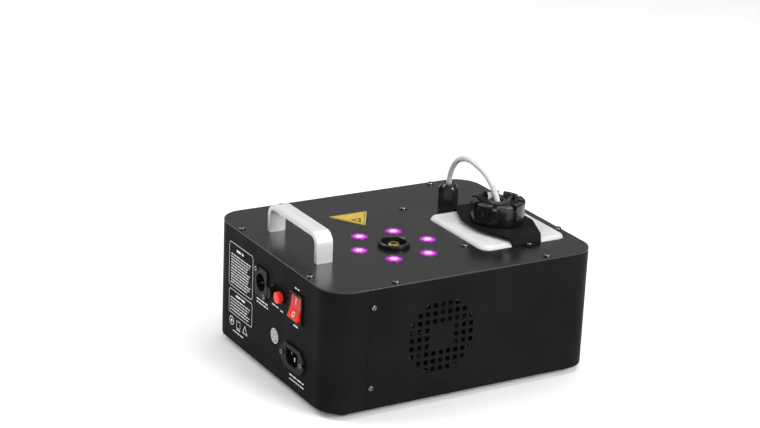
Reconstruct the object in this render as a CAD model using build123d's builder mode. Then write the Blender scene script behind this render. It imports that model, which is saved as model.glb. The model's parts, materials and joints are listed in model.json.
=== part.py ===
from build123d import *

import os
from math import cos, hypot, pi, radians, sin, tan

# Fog machine with an upward nozzle: a folded steel box with a lid, a heater and pump inside,
# a ring of lamps round the nozzle and a lift-out fluid tank beside it.
# Millimetres. +Z is up, +X runs along the long side away from the control panel, -Y is the side
# with the fan. The model is drawn about the middle of the box, then moved once along X when it is
# written, so that the origin is the middle of the whole footprint on the surface it stands on.

os.makedirs("parts", exist_ok=True)

# ---------------------------------------------------------------- driving dimensions

body_length = 310.0
body_width = 253.0
body_height = 126.0
corner_radius = 28.0
foot_height = 7.0
sheet = 1.2
panel_reach = 8.0  # how far the fuse cap stands out of the control panel

body_bottom = foot_height
base_top = body_bottom + sheet
lid_top = body_bottom + body_height
lid_bottom = lid_top - sheet
inner_x = body_length / 2 - sheet
inner_y = body_width / 2 - sheet
to_origin = Location((panel_reach / 2, 0, 0))

seam_x = -113.0
lap_length = 14.0
bracket_width = 14.0
bracket_leg = 9.0

# fasteners: head radius, head height, shank radius, shank length
m4_screw = (3.75, 2.4, 1.9, 7.0)
m3_screw = (2.9, 2.0, 1.45, 7.0)
m4_hole = 2.0
m3_hole = 1.6

side_screw_x = 150.0
lid_screw_spots = [
    (-side_screw_x, 73.5),
    (-side_screw_x, -73.5),
    (-81.0, 119.5),
    (-81.0, -119.5),
    (103.5, 119.5),
    (95.0, -119.5),
    (side_screw_x + 1.0, 58.0),
    (side_screw_x + 1.0, -58.0),
]
bulkhead_screw_spots = [(34.0, 61.0), (34.0, -61.0)]
seam_screw_heights = [body_bottom + 23.0, body_bottom + 107.0]
seam_screw_x = seam_x + 4.2
end_tab_spots = [(-147.0, 60.0), (-147.0, -60.0)]
main_tab_spots = [(-60.0, 117.0), (-60.0, -117.0), (60.0, 117.0), (60.0, -117.0), (147.0, 78.0)]
foot_spots = [(129.0, 108.0), (129.0, -108.0), (-129.0, 108.0), (-129.0, -108.0)]

# carrying handle
handle_x = -119.75
handle_y = 5.5
handle_width = 18.5
handle_span = 105.0
handle_rise = 31.0
handle_strap = 5.0
handle_leg = (handle_span - handle_strap) / 2  # from the middle of the handle to the middle of a leg
handle_screw_spots = [(handle_x, handle_y - handle_leg), (handle_x, handle_y + handle_leg)]

# nozzle, heater and lamps
nozzle_x = -30.6
nozzle_y = -29.4
ring_radius = 16.5
ring_bore = 13.0
ring_height = 4.6
lamp_circle = 40.0
lamp_count = 6
lamp_radius = 10.0
heater_size = (70.0, 60.0, 76.0)
heater_bottom = 24.0
heater_top = heater_bottom + heater_size[2]

# fluid tank, its clamp and its cap
opening_size = (104.5, 113.5)
opening_center = (94.75, -26.75)
opening_radius = 12.0
tank_gap = 0.8
tank_wall = 2.0
tank_bottom = 12.0
tank_crown = 3.0
neck_x = 95.0
neck_y = -26.5
neck_radius = 22.0
neck_top = lid_top + 18.0
clamp_top = lid_top + 8.5
clamp_sheet = 1.5
clamp_foot = 61.0  # from the neck to each screw of the clamp
clamp_screw_y = [neck_y - clamp_foot, neck_y + clamp_foot]
cap_bottom = clamp_top + 0.5
cap_top = lid_top + 31.0
cap_radius = 28.5
cap_lobes = 8
cap_lobe_angle = 4.0
gland_x = 86.5
gland_y = 55.5
gland_thread = 7.6  # radius of the thread through the lid
hose_radius = 3.0
hose_seam = lid_top + 22.5  # where the outside arch takes over from the inside hose
# the arch of the suction hose: distance from the gland towards the cap, height above the lid
hose_arch = [
    (0.0, 22.5),
    (0.0, 30.0),
    (5.5, 45.0),
    (14.5, 55.0),
    (30.0, 59.5),
    (46.0, 56.5),
    (60.0, 51.5),
    (72.0, 42.5),
    (79.5, 32.5),
    (82.44, 25.5),
    (82.44, 19.0),
]

# fan behind the front grille
fan_x = -30.0
fan_z = body_bottom + 63.7
fan_size = 80.0
fan_depth = 25.0
fan_hole_pitch = 71.5
grille_pitch = 8.45
grille_hole = 5.0

# control panel, looking at it from outside: across is -Y, up is +Z from the bottom of the body
panel = Plane(origin=(-body_length / 2, 0, body_bottom), x_dir=(0, -1, 0), z_dir=(-1, 0, 0))
control_row = 89.0
socket_spot = (-16.3, control_row)
fuse_spot = (11.0, control_row)
button_spot = (26.7, control_row)
rocker_spot = (58.5, control_row)
inlet_spot = (54.0, 34.0)
socket_screw_spots = [(-25.8, control_row + 12.0), (-6.8, control_row - 12.0)]
inlet_screw_spots = [(34.0, 34.0), (74.0, 34.0)]


def panel_plane(spot, out=0.0):
    """A plane facing out of the control panel, with its origin at one spot on it."""
    origin = panel.from_local_coords((spot[0], spot[1], out))
    return Plane(origin=origin, x_dir=panel.x_dir, z_dir=panel.z_dir)


def facing_down(spots, height):
    """Planes facing down at one height, one for each spot."""
    return [Plane(origin=(x, y, height), z_dir=(0, 0, -1)) for x, y in spots]


def side_wall(side, height=0.0):
    """The plane of the front wall (side -1) or the back wall (side 1), facing out."""
    return Plane(origin=(0, side * body_width / 2, height), x_dir=(1, 0, 0), z_dir=(0, side, 0))


def pan_screw(head_radius, head_height, shank_radius, shank_length):
    """A cross-recessed pan-head screw: the head stands on z = 0 and the shank points down."""
    recess = head_height * 0.55
    with BuildPart() as screw:
        with BuildSketch():
            Circle(head_radius)
        extrude(amount=head_height)
        fillet(screw.edges().group_by(Axis.Z)[-1], head_height * 0.6)
        with BuildSketch(Plane.XY.offset(head_height - recess)):
            Rectangle(head_radius * 1.1, head_radius * 0.28)
            Rectangle(head_radius * 0.28, head_radius * 1.1)
        extrude(amount=recess, mode=Mode.SUBTRACT)
        with BuildSketch():
            Circle(shank_radius)
        extrude(amount=-shank_length)
    return screw.part


def wall_bracket(spot, shelf, foot, depth):
    """An angle welded inside the nearest wall, with a screw hole at the spot.

    shelf is the underside of the level leg and foot the lower end of the leg on the wall.
    """
    x, y = spot
    on_end = abs(x) > body_length / 2 - 20
    reach = min(depth, body_length / 2 - abs(x) + 3.0) if on_end else depth
    turn = (0 if x > 0 else 180) if on_end else (90 if y > 0 else -90)
    wall = (inner_x if x > 0 else -inner_x, y) if on_end else (x, inner_y if y > 0 else -inner_y)
    with BuildPart() as bracket:
        with Locations(Location((wall[0], wall[1], shelf), (0, 0, turn))):
            Box(reach, bracket_width, sheet, align=(Align.MAX, Align.CENTER, Align.MIN))
        with Locations(Location((wall[0], wall[1], foot), (0, 0, turn))):
            Box(sheet, bracket_width, bracket_leg, align=(Align.MAX, Align.CENTER, Align.MIN))
        with Locations((x, y, foot + bracket_leg)):
            Hole(m4_hole, depth=bracket_leg)
    return bracket.part


def save(piece, label):
    """Move a finished piece to the shared origin and write it."""
    moved = piece.moved(to_origin)
    moved.label = label
    export_step(moved, f"parts/{label}.step")


# ---------------------------------------------------------------- lid

with BuildPart() as lid:
    with BuildSketch(Plane.XY.offset(lid_bottom)):
        RectangleRounded(body_length, body_width, corner_radius)
        with Locations(opening_center):
            RectangleRounded(*opening_size, opening_radius, mode=Mode.SUBTRACT)
        with Locations(*lid_screw_spots, *bulkhead_screw_spots):
            Circle(m4_hole, mode=Mode.SUBTRACT)
        with Locations((nozzle_x, nozzle_y)):
            Circle(ring_bore + 1.4, mode=Mode.SUBTRACT)
            with PolarLocations(lamp_circle, lamp_count):
                Circle(lamp_radius, mode=Mode.SUBTRACT)
        with Locations((gland_x, gland_y)):
            Circle(gland_thread + 0.1, mode=Mode.SUBTRACT)
        with Locations(*[(neck_x, y) for y in clamp_screw_y]):
            Circle(m3_hole, mode=Mode.SUBTRACT)
        with Locations(*handle_screw_spots):
            Circle(m3_hole, mode=Mode.SUBTRACT)
    extrude(amount=sheet)
    fillet(lid.faces().sort_by(Axis.Z)[-1].outer_wire().edges(), 0.4)
save(lid.part, "lid")

with BuildPart() as lid_screws:
    with Locations(*[(x, y, lid_top) for x, y in lid_screw_spots + bulkhead_screw_spots]):
        add(pan_screw(*m4_screw))
save(lid_screws.part, "lid_screws")

# ---------------------------------------------------------------- main shell: front, right end and back

wall_height = lid_bottom - body_bottom
front_wall = side_wall(-1, body_bottom)
fan_center = (fan_x, fan_z - body_bottom)
grille_spots = [
    (fan_center[0] + column * grille_pitch, fan_center[1] + row * grille_pitch)
    for row in range(-4, 5)
    for column in range(-4, 5)
    if abs(row) + abs(column) <= 6 and not (abs(row) <= 1 and abs(column) <= 1)
]
vent_center = (-40.0, -63.7)

with BuildPart() as main_shell:
    with BuildSketch(Plane.XY.offset(body_bottom)):
        RectangleRounded(body_length, body_width, corner_radius)
        RectangleRounded(2 * inner_x, 2 * inner_y, corner_radius - sheet, mode=Mode.SUBTRACT)
        with Locations((seam_x - body_length / 2, 0)):
            Rectangle(body_length, body_width + 2, mode=Mode.SUBTRACT)
    extrude(amount=wall_height)
    with BuildSketch(front_wall):
        with Locations(*grille_spots):
            Rectangle(grille_hole, grille_hole)
    extrude(amount=-2 * sheet, mode=Mode.SUBTRACT)
    with BuildSketch(side_wall(1, body_bottom)):
        with Locations(vent_center):
            with GridLocations(34.0, 8.0, 2, 6):
                SlotOverall(28.0, 3.5)
    extrude(amount=-2 * sheet, mode=Mode.SUBTRACT)
    for side in (-1, 1):
        with BuildSketch(side_wall(side)):
            with Locations(*[(seam_screw_x, side * -z) for z in seam_screw_heights]):
                Circle(m3_hole)
        extrude(amount=-2 * sheet, mode=Mode.SUBTRACT)
save(main_shell.part, "main_shell")

# ---------------------------------------------------------------- end shell: control panel and two corners

lap_y = inner_y - sheet / 2

with BuildPart() as end_shell:
    with BuildSketch(Plane.XY.offset(body_bottom)):
        RectangleRounded(body_length, body_width, corner_radius)
        RectangleRounded(2 * inner_x, 2 * inner_y, corner_radius - sheet, mode=Mode.SUBTRACT)
        with Locations((seam_x - 0.3 + body_length / 2, 0)):
            Rectangle(body_length, body_width + 2, mode=Mode.SUBTRACT)
    extrude(amount=wall_height)
    with BuildSketch(Plane.XY.offset(body_bottom + 3.0)):
        with Locations(*[(seam_x + lap_length / 2 - 4.0, side * (lap_y - 0.02)) for side in (-1, 1)]):
            Rectangle(lap_length + 8.0, sheet)
        with Locations(*[(seam_x - 4.0, side * (inner_y - 0.2)) for side in (-1, 1)]):
            Rectangle(4.0, 1.0)
    extrude(amount=wall_height - 6.0)
    for side in (-1, 1):
        with BuildSketch(side_wall(side)):
            with Locations(*[(seam_screw_x, side * -z) for z in seam_screw_heights]):
                Circle(m3_hole)
        extrude(amount=-4 * sheet, mode=Mode.SUBTRACT)
    with BuildSketch(panel):
        with Locations(socket_spot):
            Circle(12.0)
        with Locations(*socket_screw_spots, *inlet_screw_spots):
            Circle(m3_hole)
        with Locations(fuse_spot, button_spot):
            Circle(6.1)
        with Locations(rocker_spot):
            Rectangle(22.3, 28.9)
        with Locations(inlet_spot):
            Rectangle(27.7, 20.7)
    extrude(amount=-2 * sheet, mode=Mode.SUBTRACT)
save(end_shell.part, "end_shell")

with BuildPart() as seam_screws:
    for side in (-1, 1):
        for z in seam_screw_heights:
            with Locations(Plane(origin=(seam_screw_x, side * body_width / 2, z), z_dir=(0, side, 0))):
                add(pan_screw(*m3_screw))
save(seam_screws.part, "seam_screws")

# ---------------------------------------------------------------- angle brackets for the lid and base plate

with BuildPart() as wall_brackets:
    for spot in lid_screw_spots:
        add(wall_bracket(spot, lid_bottom - sheet, lid_bottom - bracket_leg, 12.0))
    for spot in main_tab_spots + end_tab_spots:
        add(wall_bracket(spot, base_top, base_top, 14.0))
save(wall_brackets.part, "wall_brackets")

# ---------------------------------------------------------------- base plate, feet and the screws from below

heater_foot_spots = [(nozzle_x + 46.0 * side, nozzle_y + 20.0 * end) for side in (-1, 1) for end in (-1, 1)]
pump_x = -8.0
pump_y = 85.0
pump_z = 46.0
pump_foot_spots = [(pump_x - 12.0, pump_y - 28.0), (pump_x + 12.0, pump_y - 28.0)]
bulkhead_x = 39.4
bulkhead_foot_spots = [(32.0, 95.0), (32.0, -95.0)]
board_center = (-88.0, 62.0)
board_size = (72.0, 88.0)
board_z = base_top + 8.0
board_post_spots = [
    (board_center[0] + 31.0 * side, board_center[1] + 39.0 * end) for side in (-1, 1) for end in (-1, 1)
]
chassis_spots = heater_foot_spots + pump_foot_spots + bulkhead_foot_spots
base_gap = 0.2

with BuildPart() as base_plate:
    with BuildSketch(Plane.XY.offset(body_bottom)):
        RectangleRounded(2 * (inner_x - base_gap), 2 * (inner_y - base_gap), corner_radius - sheet - base_gap)
        with Locations(*main_tab_spots, *end_tab_spots, *foot_spots, *chassis_spots):
            Circle(m4_hole, mode=Mode.SUBTRACT)
    extrude(amount=sheet)
save(base_plate.part, "base_plate")

foot_recess = 3.2

with BuildPart() as base_screws:
    with Locations(*facing_down(main_tab_spots + end_tab_spots + chassis_spots, body_bottom)):
        add(pan_screw(*m4_screw[:3], 5.0))
    with Locations(*facing_down(foot_spots, foot_recess)):
        add(pan_screw(*m4_screw[:3], 8.0))
save(base_screws.part, "base_screws")

with BuildPart() as one_foot:
    with BuildSketch(Plane.XZ):
        with BuildLine():
            Polyline((2.0, foot_recess), (4.4, foot_recess), (4.4, 0.0), (6.6, 0.0), (7.2, 0.6))
            Line((7.2, 0.6), (8.0, foot_height - 0.8))
            Polyline((8.0, foot_height - 0.8), (8.0, foot_height), (2.0, foot_height), (2.0, foot_recess))
        make_face()
    revolve(axis=Axis.Z)
with BuildPart() as feet:
    with Locations(*foot_spots):
        add(one_foot.part)
save(feet.part, "feet")

# ---------------------------------------------------------------- carrying handle

handle_bend = 13.0

with BuildPart() as handle:
    with BuildSketch(Plane.YZ.offset(handle_x - handle_width / 2)):
        with Locations((handle_y, lid_top + handle_rise / 2)):
            outline = Rectangle(handle_span, handle_rise)
        fillet(outline.vertices().group_by(Axis.Y)[-1], handle_bend)
    extrude(amount=handle_width)
    with BuildSketch(Plane.YZ.offset(handle_x - handle_width / 2)):
        with Locations((handle_y, lid_top + handle_rise / 2 - handle_strap)):
            window = Rectangle(handle_span - 2 * handle_strap, handle_rise)
        fillet(window.vertices().group_by(Axis.Y)[-1], handle_bend - handle_strap)
    extrude(amount=handle_width, mode=Mode.SUBTRACT)
    fillet(handle.edges().filter_by(GeomType.CIRCLE) + handle.edges().filter_by(Axis.Y), 0.8)
    with Locations(*facing_down(handle_screw_spots, lid_top)):
        Hole(m3_hole, depth=14.0)
save(handle.part, "handle")

with BuildPart() as handle_screws:
    with Locations(*facing_down(handle_screw_spots, lid_bottom)):
        add(pan_screw(*m3_screw[:3], 13.0))
save(handle_screws.part, "handle_screws")

label_corners = [(-51.8, 70.0), (-5.3, 70.0), (-28.6, 32.0)]

with BuildPart() as warning_label:
    with BuildSketch(Plane.XY.offset(lid_top)):
        with BuildLine():
            Polyline(*label_corners, label_corners[0])
        make_face()
        fillet(vertices(), 1.5)
    extrude(amount=0.25)
save(warning_label.part, "warning_label")

# ---------------------------------------------------------------- bulkhead between the tank bay and the works

bulkhead_flange = 13.0

with BuildPart() as bulkhead:
    with BuildSketch(Plane.XZ):
        with BuildLine():
            Polyline(
                (bulkhead_x - bulkhead_flange, base_top),
                (bulkhead_x + sheet / 2, base_top),
                (bulkhead_x + sheet / 2, lid_bottom),
                (bulkhead_x - bulkhead_flange, lid_bottom),
                (bulkhead_x - bulkhead_flange, lid_bottom - sheet),
                (bulkhead_x - sheet / 2, lid_bottom - sheet),
                (bulkhead_x - sheet / 2, base_top + sheet),
                (bulkhead_x - bulkhead_flange, base_top + sheet),
                close=True,
            )
        make_face()
    extrude(amount=inner_y - 18.0, both=True)
    with Locations(*[(x, y, lid_bottom) for x, y in bulkhead_screw_spots]):
        Hole(m4_hole, depth=2 * sheet)
    with Locations(*[(x, y, base_top + sheet) for x, y in bulkhead_foot_spots]):
        Hole(m4_hole, depth=2 * sheet)
    with Locations(Plane(origin=(bulkhead_x + sheet / 2, pump_y, pump_z), z_dir=(1, 0, 0))):
        Hole(5.0, depth=2 * sheet)
save(bulkhead.part, "bulkhead")

# ---------------------------------------------------------------- nozzle, heater block and its parts

nozzle_plane = Plane(origin=(nozzle_x, nozzle_y, 0), x_dir=(1, 0, 0), z_dir=(0, -1, 0))
nozzle_axis = Axis((nozzle_x, nozzle_y, 0), (0, 0, 1))
tube_radius = 6.0
tube_bore = 3.0

with BuildPart() as nozzle_ring:
    with BuildSketch(nozzle_plane):
        with BuildLine():
            Polyline(
                (ring_bore, lid_bottom - 4.0),
                (ring_bore + 1.2, lid_bottom - 4.0),
                (ring_bore + 1.2, lid_top),
                (ring_radius - 0.9, lid_top),
                (ring_radius, lid_top + 1.6),
                (ring_radius, lid_top + ring_height - 0.8),
                (ring_radius - 0.8, lid_top + ring_height),
                (ring_bore + 1.0, lid_top + ring_height),
                (ring_bore, lid_top + ring_height - 1.0),
                close=True,
            )
        make_face()
    revolve(axis=nozzle_axis)
save(nozzle_ring.part, "nozzle_ring")

with BuildPart() as nozzle_tube:
    with BuildSketch(Plane.XY.offset(heater_top)):
        with Locations((nozzle_x, nozzle_y)):
            RegularPolygon(9.0, 6)
    extrude(amount=8.0)
    with BuildSketch(Plane.XY.offset(heater_top - 12.0)):
        with Locations((nozzle_x, nozzle_y)):
            Circle(tube_radius)
    extrude(amount=lid_top - heater_top + 14.0)
    chamfer(nozzle_tube.edges().group_by(Axis.Z)[-1], 1.0)
    with Locations((nozzle_x, nozzle_y, lid_top + 2.0)):
        Hole(tube_bore)
save(nozzle_tube.part, "nozzle_tube")

element_spots = [(nozzle_y - 16.0, heater_bottom + 14.0), (nozzle_y + 16.0, heater_bottom + 14.0)]
feed_port = (nozzle_x - 14.0, nozzle_y + heater_size[1] / 2, heater_bottom + 34.0)
feed_tube_radius = 2.0
heater_left = nozzle_x - heater_size[0] / 2

with BuildPart() as heater_block:
    with Locations((nozzle_x, nozzle_y, heater_bottom + heater_size[2] / 2)):
        Box(*heater_size)
    fillet(heater_block.edges().filter_by(Axis.Z), 8.0)
    with BuildSketch(Plane.XY.offset(heater_bottom + 10.0)) as fin_slot:
        with Locations((nozzle_x, nozzle_y)):
            RectangleRounded(heater_size[0] + 2, heater_size[1] + 2, 9.0)
            RectangleRounded(heater_size[0] - 6, heater_size[1] - 6, 5.0, mode=Mode.SUBTRACT)
    for level in (18.0, 28.0, 46.0, 56.0):
        slot_at_level = fin_slot.sketch.moved(Location((0, 0, level)))
        add(extrude(slot_at_level, amount=4.0, mode=Mode.PRIVATE), mode=Mode.SUBTRACT)
    with Locations((nozzle_x, nozzle_y, heater_top)):
        Hole(tube_radius + 0.05, depth=12.0)
        Hole(tube_bore, depth=60.0)
    with Locations(*[Plane(origin=(heater_left, y, z), z_dir=(-1, 0, 0)) for y, z in element_spots]):
        Hole(4.1, depth=heater_size[0] - 8.0)
    with Locations(Plane(origin=feed_port, z_dir=(0, 1, 0))):
        Hole(feed_tube_radius + 0.05, depth=heater_size[1] / 2)
save(heater_block.part, "heater_block")

with BuildPart() as heater_element:
    with Locations(*[Plane(origin=(heater_left - 10.0, y, z), z_dir=(-1, 0, 0)) for y, z in element_spots]):
        Cylinder(4.0, heater_size[0] - 4.0, align=(Align.CENTER, Align.CENTER, Align.MAX))
        Cylinder(1.5, 9.0, align=(Align.CENTER, Align.CENTER, Align.MIN))
save(heater_element.part, "heater_element")

bracket_leg_x = 40.0
with BuildPart() as heater_bracket:
    with BuildSketch(nozzle_plane):
        with BuildLine():
            FilletPolyline(
                (-bracket_leg_x - 13.0, base_top),
                (-bracket_leg_x, base_top),
                (-bracket_leg_x, heater_bottom - 1.5),
                (bracket_leg_x, heater_bottom - 1.5),
                (bracket_leg_x, base_top),
                (bracket_leg_x + 13.0, base_top),
                (bracket_leg_x + 13.0, base_top + 1.5),
                (bracket_leg_x + 1.5, base_top + 1.5),
                (bracket_leg_x + 1.5, heater_bottom),
                (-bracket_leg_x - 1.5, heater_bottom),
                (-bracket_leg_x - 1.5, base_top + 1.5),
                (-bracket_leg_x - 13.0, base_top + 1.5),
                radius=0.6,
                close=True,
            )
        make_face()
    extrude(amount=27.0, both=True)
    with Locations(*[(x, y, base_top + 1.5) for x, y in heater_foot_spots]):
        Hole(m4_hole, depth=3.0)
save(heater_bracket.part, "heater_bracket")

thermostat_heights = [heater_bottom + 40.0, heater_bottom + 66.0]
with BuildPart() as thermostats:
    for z in thermostat_heights:
        face = Plane(origin=(nozzle_x + heater_size[0] / 2, nozzle_y, z), z_dir=(1, 0, 0))
        with BuildSketch(face):
            Circle(8.0)
        extrude(amount=7.0)
        with BuildSketch(face.offset(1.0)):
            SlotOverall(28.0, 9.0, rotation=90)
        extrude(amount=0.8)
        with BuildSketch(face.offset(7.0)):
            with Locations((0, 5.0), (0, -5.0)):
                Rectangle(6.0, 0.8)
        extrude(amount=8.0)
save(thermostats.part, "thermostats")

# ---------------------------------------------------------------- lamps round the nozzle

lens_flange = 1.4
lens_depth = 6.0
lamp_board_top = lid_bottom - lens_depth - 0.1
lamp_board_sheet = 1.6
with BuildPart() as led_lenses:
    with Locations((nozzle_x, nozzle_y, lid_bottom)):
        with PolarLocations(lamp_circle, lamp_count):
            Cylinder(lamp_radius - 0.2, sheet + 0.4, align=(Align.CENTER, Align.CENTER, Align.MIN))
    fillet(led_lenses.edges().group_by(Axis.Z)[-1], 0.35)
    with Locations((nozzle_x, nozzle_y, lid_bottom)):
        with PolarLocations(lamp_circle, lamp_count):
            Cylinder(lamp_radius + 1.2, lens_flange, align=(Align.CENTER, Align.CENTER, Align.MAX))
            Cylinder(lamp_radius - 1.0, lens_depth - 1.6, align=(Align.CENTER, Align.CENTER, Align.MAX))
save(led_lenses.part, "led_lenses")

lamp_post_angles = [30.0, 150.0, 270.0]
lamp_post_circle = 40.0
with BuildPart() as led_board:
    with BuildSketch(Plane.XY.offset(lamp_board_top - lamp_board_sheet)):
        with Locations((nozzle_x, nozzle_y)):
            Circle(53.0)
            Circle(22.0, mode=Mode.SUBTRACT)
            for angle in lamp_post_angles:
                with PolarLocations(lamp_post_circle, 1, start_angle=angle):
                    Circle(1.6, mode=Mode.SUBTRACT)
    extrude(amount=lamp_board_sheet)
    with Locations((nozzle_x, nozzle_y, lamp_board_top)):
        with PolarLocations(lamp_circle, lamp_count):
            Box(5.0, 5.0, 1.4, align=(Align.CENTER, Align.CENTER, Align.MIN))
save(led_board.part, "led_board")

with BuildPart() as board_posts:
    for angle in lamp_post_angles:
        x = nozzle_x + lamp_post_circle * cos(radians(angle))
        y = nozzle_y + lamp_post_circle * sin(radians(angle))
        with Locations((x, y, lid_bottom)):
            Cylinder(3.0, lid_bottom - lamp_board_top, align=(Align.CENTER, Align.CENTER, Align.MAX))
            Cylinder(1.5, lid_bottom - lamp_board_top + 4.0, align=(Align.CENTER, Align.CENTER, Align.MAX))
    with Locations(*[(x, y, base_top) for x, y in board_post_spots]):
        Cylinder(3.0, board_z - base_top, align=(Align.CENTER, Align.CENTER, Align.MIN))
        Cylinder(1.5, board_z - base_top + 4.0, align=(Align.CENTER, Align.CENTER, Align.MIN))
save(board_posts.part, "board_posts")

# ---------------------------------------------------------------- control board

component_sheet = 1.6
with BuildPart() as control_board:
    with BuildSketch(Plane.XY.offset(board_z)):
        with Locations(board_center):
            RectangleRounded(*board_size, 2.0)
        with Locations(*board_post_spots):
            Circle(1.6, mode=Mode.SUBTRACT)
    extrude(amount=component_sheet)
save(control_board.part, "control_board")

# each box on the board: centre across, centre along, length, width, height
board_boxes = [
    (-16.5, -25.0, 26.0, 23.0, 22.0),
    (14.0, -28.0, 19.0, 15.5, 15.0),
    (14.0, -8.0, 19.0, 15.5, 15.0),
    (-22.0, 4.0, 10.0, 26.0, 9.0),
    (12.0, 14.0, 18.0, 10.0, 4.0),
    (-8.0, 35.0, 34.0, 8.0, 9.0),
    (27.0, 24.0, 8.0, 22.0, 10.0),
]
capacitor_spots = [(-4.0, 14.0), (-6.0, -4.0)]
with BuildPart() as board_components:
    for across, along, length, width, height in board_boxes:
        with Locations((board_center[0] + across, board_center[1] + along, board_z + component_sheet)):
            Box(length, width, height, align=(Align.CENTER, Align.CENTER, Align.MIN))
    with Locations(
        *[(board_center[0] + x, board_center[1] + y, board_z + component_sheet) for x, y in capacitor_spots]
    ):
        Cylinder(5.0, 18.0, align=(Align.CENTER, Align.CENTER, Align.MIN))
save(board_components.part, "board_components")

# ---------------------------------------------------------------- fluid pump

pump_axis_left = Plane(origin=(pump_x, pump_y, pump_z), z_dir=(-1, 0, 0))
pump_bore = 6.3
plunger_radius = 6.1
pump_travel = 3.0
coil_length = 34.0
with BuildPart() as pump_body:
    with BuildSketch(pump_axis_left.offset(-28.0)):
        Circle(8.5)
    extrude(amount=62.0)
    with BuildSketch(pump_axis_left.offset(-36.0)):
        Circle(3.2)
    extrude(amount=8.0)
    with BuildSketch(pump_axis_left.offset(34.0)):
        RegularPolygon(6.5, 6)
    extrude(amount=5.0)
    with BuildSketch(pump_axis_left.offset(-24.0)):
        Circle(pump_bore)
    extrude(amount=54.0, mode=Mode.SUBTRACT)
    with BuildSketch(pump_axis_left.offset(-36.0)):
        Circle(1.6)
    extrude(amount=75.0, mode=Mode.SUBTRACT)
save(pump_body.part, "pump_body")

with BuildPart() as pump_coil:
    with BuildSketch(pump_axis_left.offset(-coil_length / 2)):
        Rectangle(34.0, 34.0)
    extrude(amount=coil_length)
    fillet(pump_coil.edges().filter_by(Axis.X), 4.0)
    with BuildSketch(pump_axis_left.offset(-coil_length / 2)):
        Circle(8.6)
    extrude(amount=coil_length, mode=Mode.SUBTRACT)
save(pump_coil.part, "pump_coil")

plunger_length = 30.0
plunger_right = -20.0
with BuildPart() as pump_plunger:
    with BuildSketch(pump_axis_left.offset(plunger_right)):
        Circle(plunger_radius)
        Circle(1.6, mode=Mode.SUBTRACT)
    extrude(amount=plunger_length)
save(pump_plunger.part, "pump_plunger")

spring_wire = 0.5
pump_spring_length = 54.0 - 24.0 - (plunger_right + plunger_length) - 2 * spring_wire
with BuildPart() as pump_spring:
    with BuildLine(pump_axis_left.offset(plunger_right + plunger_length + spring_wire)) as pump_coil_path:
        Helix(pitch=2.5, height=pump_spring_length, radius=5.0, direction=(-1, 0, 0))
    with BuildSketch(Plane(origin=pump_coil_path.line @ 0, z_dir=pump_coil_path.line % 0)):
        Circle(spring_wire)
    sweep(path=pump_coil_path.line, is_frenet=True)
save(pump_spring.part, "pump_spring")

with BuildPart() as pump_bracket:
    with BuildSketch(Plane.YZ.offset(pump_x - 17.0)):
        with BuildLine():
            Polyline(
                (pump_y - 34.0, base_top),
                (pump_y - 17.3, base_top),
                (pump_y - 17.3, pump_z + 17.0),
                (pump_y - 18.8, pump_z + 17.0),
                (pump_y - 18.8, base_top + 1.5),
                (pump_y - 34.0, base_top + 1.5),
                close=True,
            )
        make_face()
    extrude(amount=34.0)
    with Locations((pump_x, pump_y - 17.0, pump_z - 17.0 - 0.75)):
        Box(34.0, 34.0, 1.5, align=(Align.CENTER, Align.MIN, Align.CENTER))
        Box(34.0, 1.0, 1.5, align=(Align.CENTER, Align.MAX, Align.CENTER))
    with Locations(*[(x, y, base_top + 1.5) for x, y in pump_foot_spots]):
        Hole(m4_hole, depth=3.0)
save(pump_bracket.part, "pump_bracket")

# ---------------------------------------------------------------- fan behind the grille

fan_plane = Plane(origin=(fan_x, -inner_y, fan_z), x_dir=(-1, 0, 0), z_dir=(0, 1, 0))
fan_bore = 38.0
stator_depth = 4.0
with BuildPart() as fan_frame:
    with BuildSketch(fan_plane):
        RectangleRounded(fan_size, fan_size, 4.0)
        Circle(fan_bore, mode=Mode.SUBTRACT)
        with GridLocations(fan_hole_pitch, fan_hole_pitch, 2, 2):
            Circle(1.9, mode=Mode.SUBTRACT)
    extrude(amount=fan_depth)
    with BuildSketch(fan_plane.offset(fan_depth - stator_depth)):
        Circle(15.0)
        with PolarLocations(26.5, 4, start_angle=45):
            Rectangle(26.0, 3.0)
    extrude(amount=stator_depth)
    with BuildSketch(fan_plane.offset(fan_depth)):
        Circle(1.7)
    extrude(amount=-stator_depth, mode=Mode.SUBTRACT)
save(fan_frame.part, "fan_frame")

blade_count = 7
hub_radius = 14.0
hub_depth = 17.0
with BuildPart() as fan_rotor:
    with BuildSketch(fan_plane.offset(2.5)):
        Circle(hub_radius)
    extrude(amount=hub_depth)
    fillet(fan_rotor.edges().group_by(Axis.Y)[0], 1.5)
    with Locations(fan_plane.offset(2.5 + hub_depth / 2)):
        with PolarLocations(25.0, blade_count):
            Box(24.0, 1.6, 17.0, rotation=(38, 0, 0))
    with BuildSketch(fan_plane.offset(2.5 + hub_depth)):
        Circle(1.6)
    extrude(amount=5.0)
save(fan_rotor.part, "fan_rotor")

with BuildPart() as fan_studs:
    with BuildSketch(fan_plane):
        with GridLocations(fan_hole_pitch, fan_hole_pitch, 2, 2):
            Circle(1.5)
    extrude(amount=fan_depth + 4.0)
    with BuildSketch(fan_plane.offset(fan_depth)):
        with GridLocations(fan_hole_pitch, fan_hole_pitch, 2, 2):
            RegularPolygon(3.2, 6)
    extrude(amount=2.4)
save(fan_studs.part, "fan_studs")

# ---------------------------------------------------------------- fluid tank

tank_size = (opening_size[0] - 2 * tank_gap, opening_size[1] - 2 * tank_gap)
tank_top = lid_top + tank_crown

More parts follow.
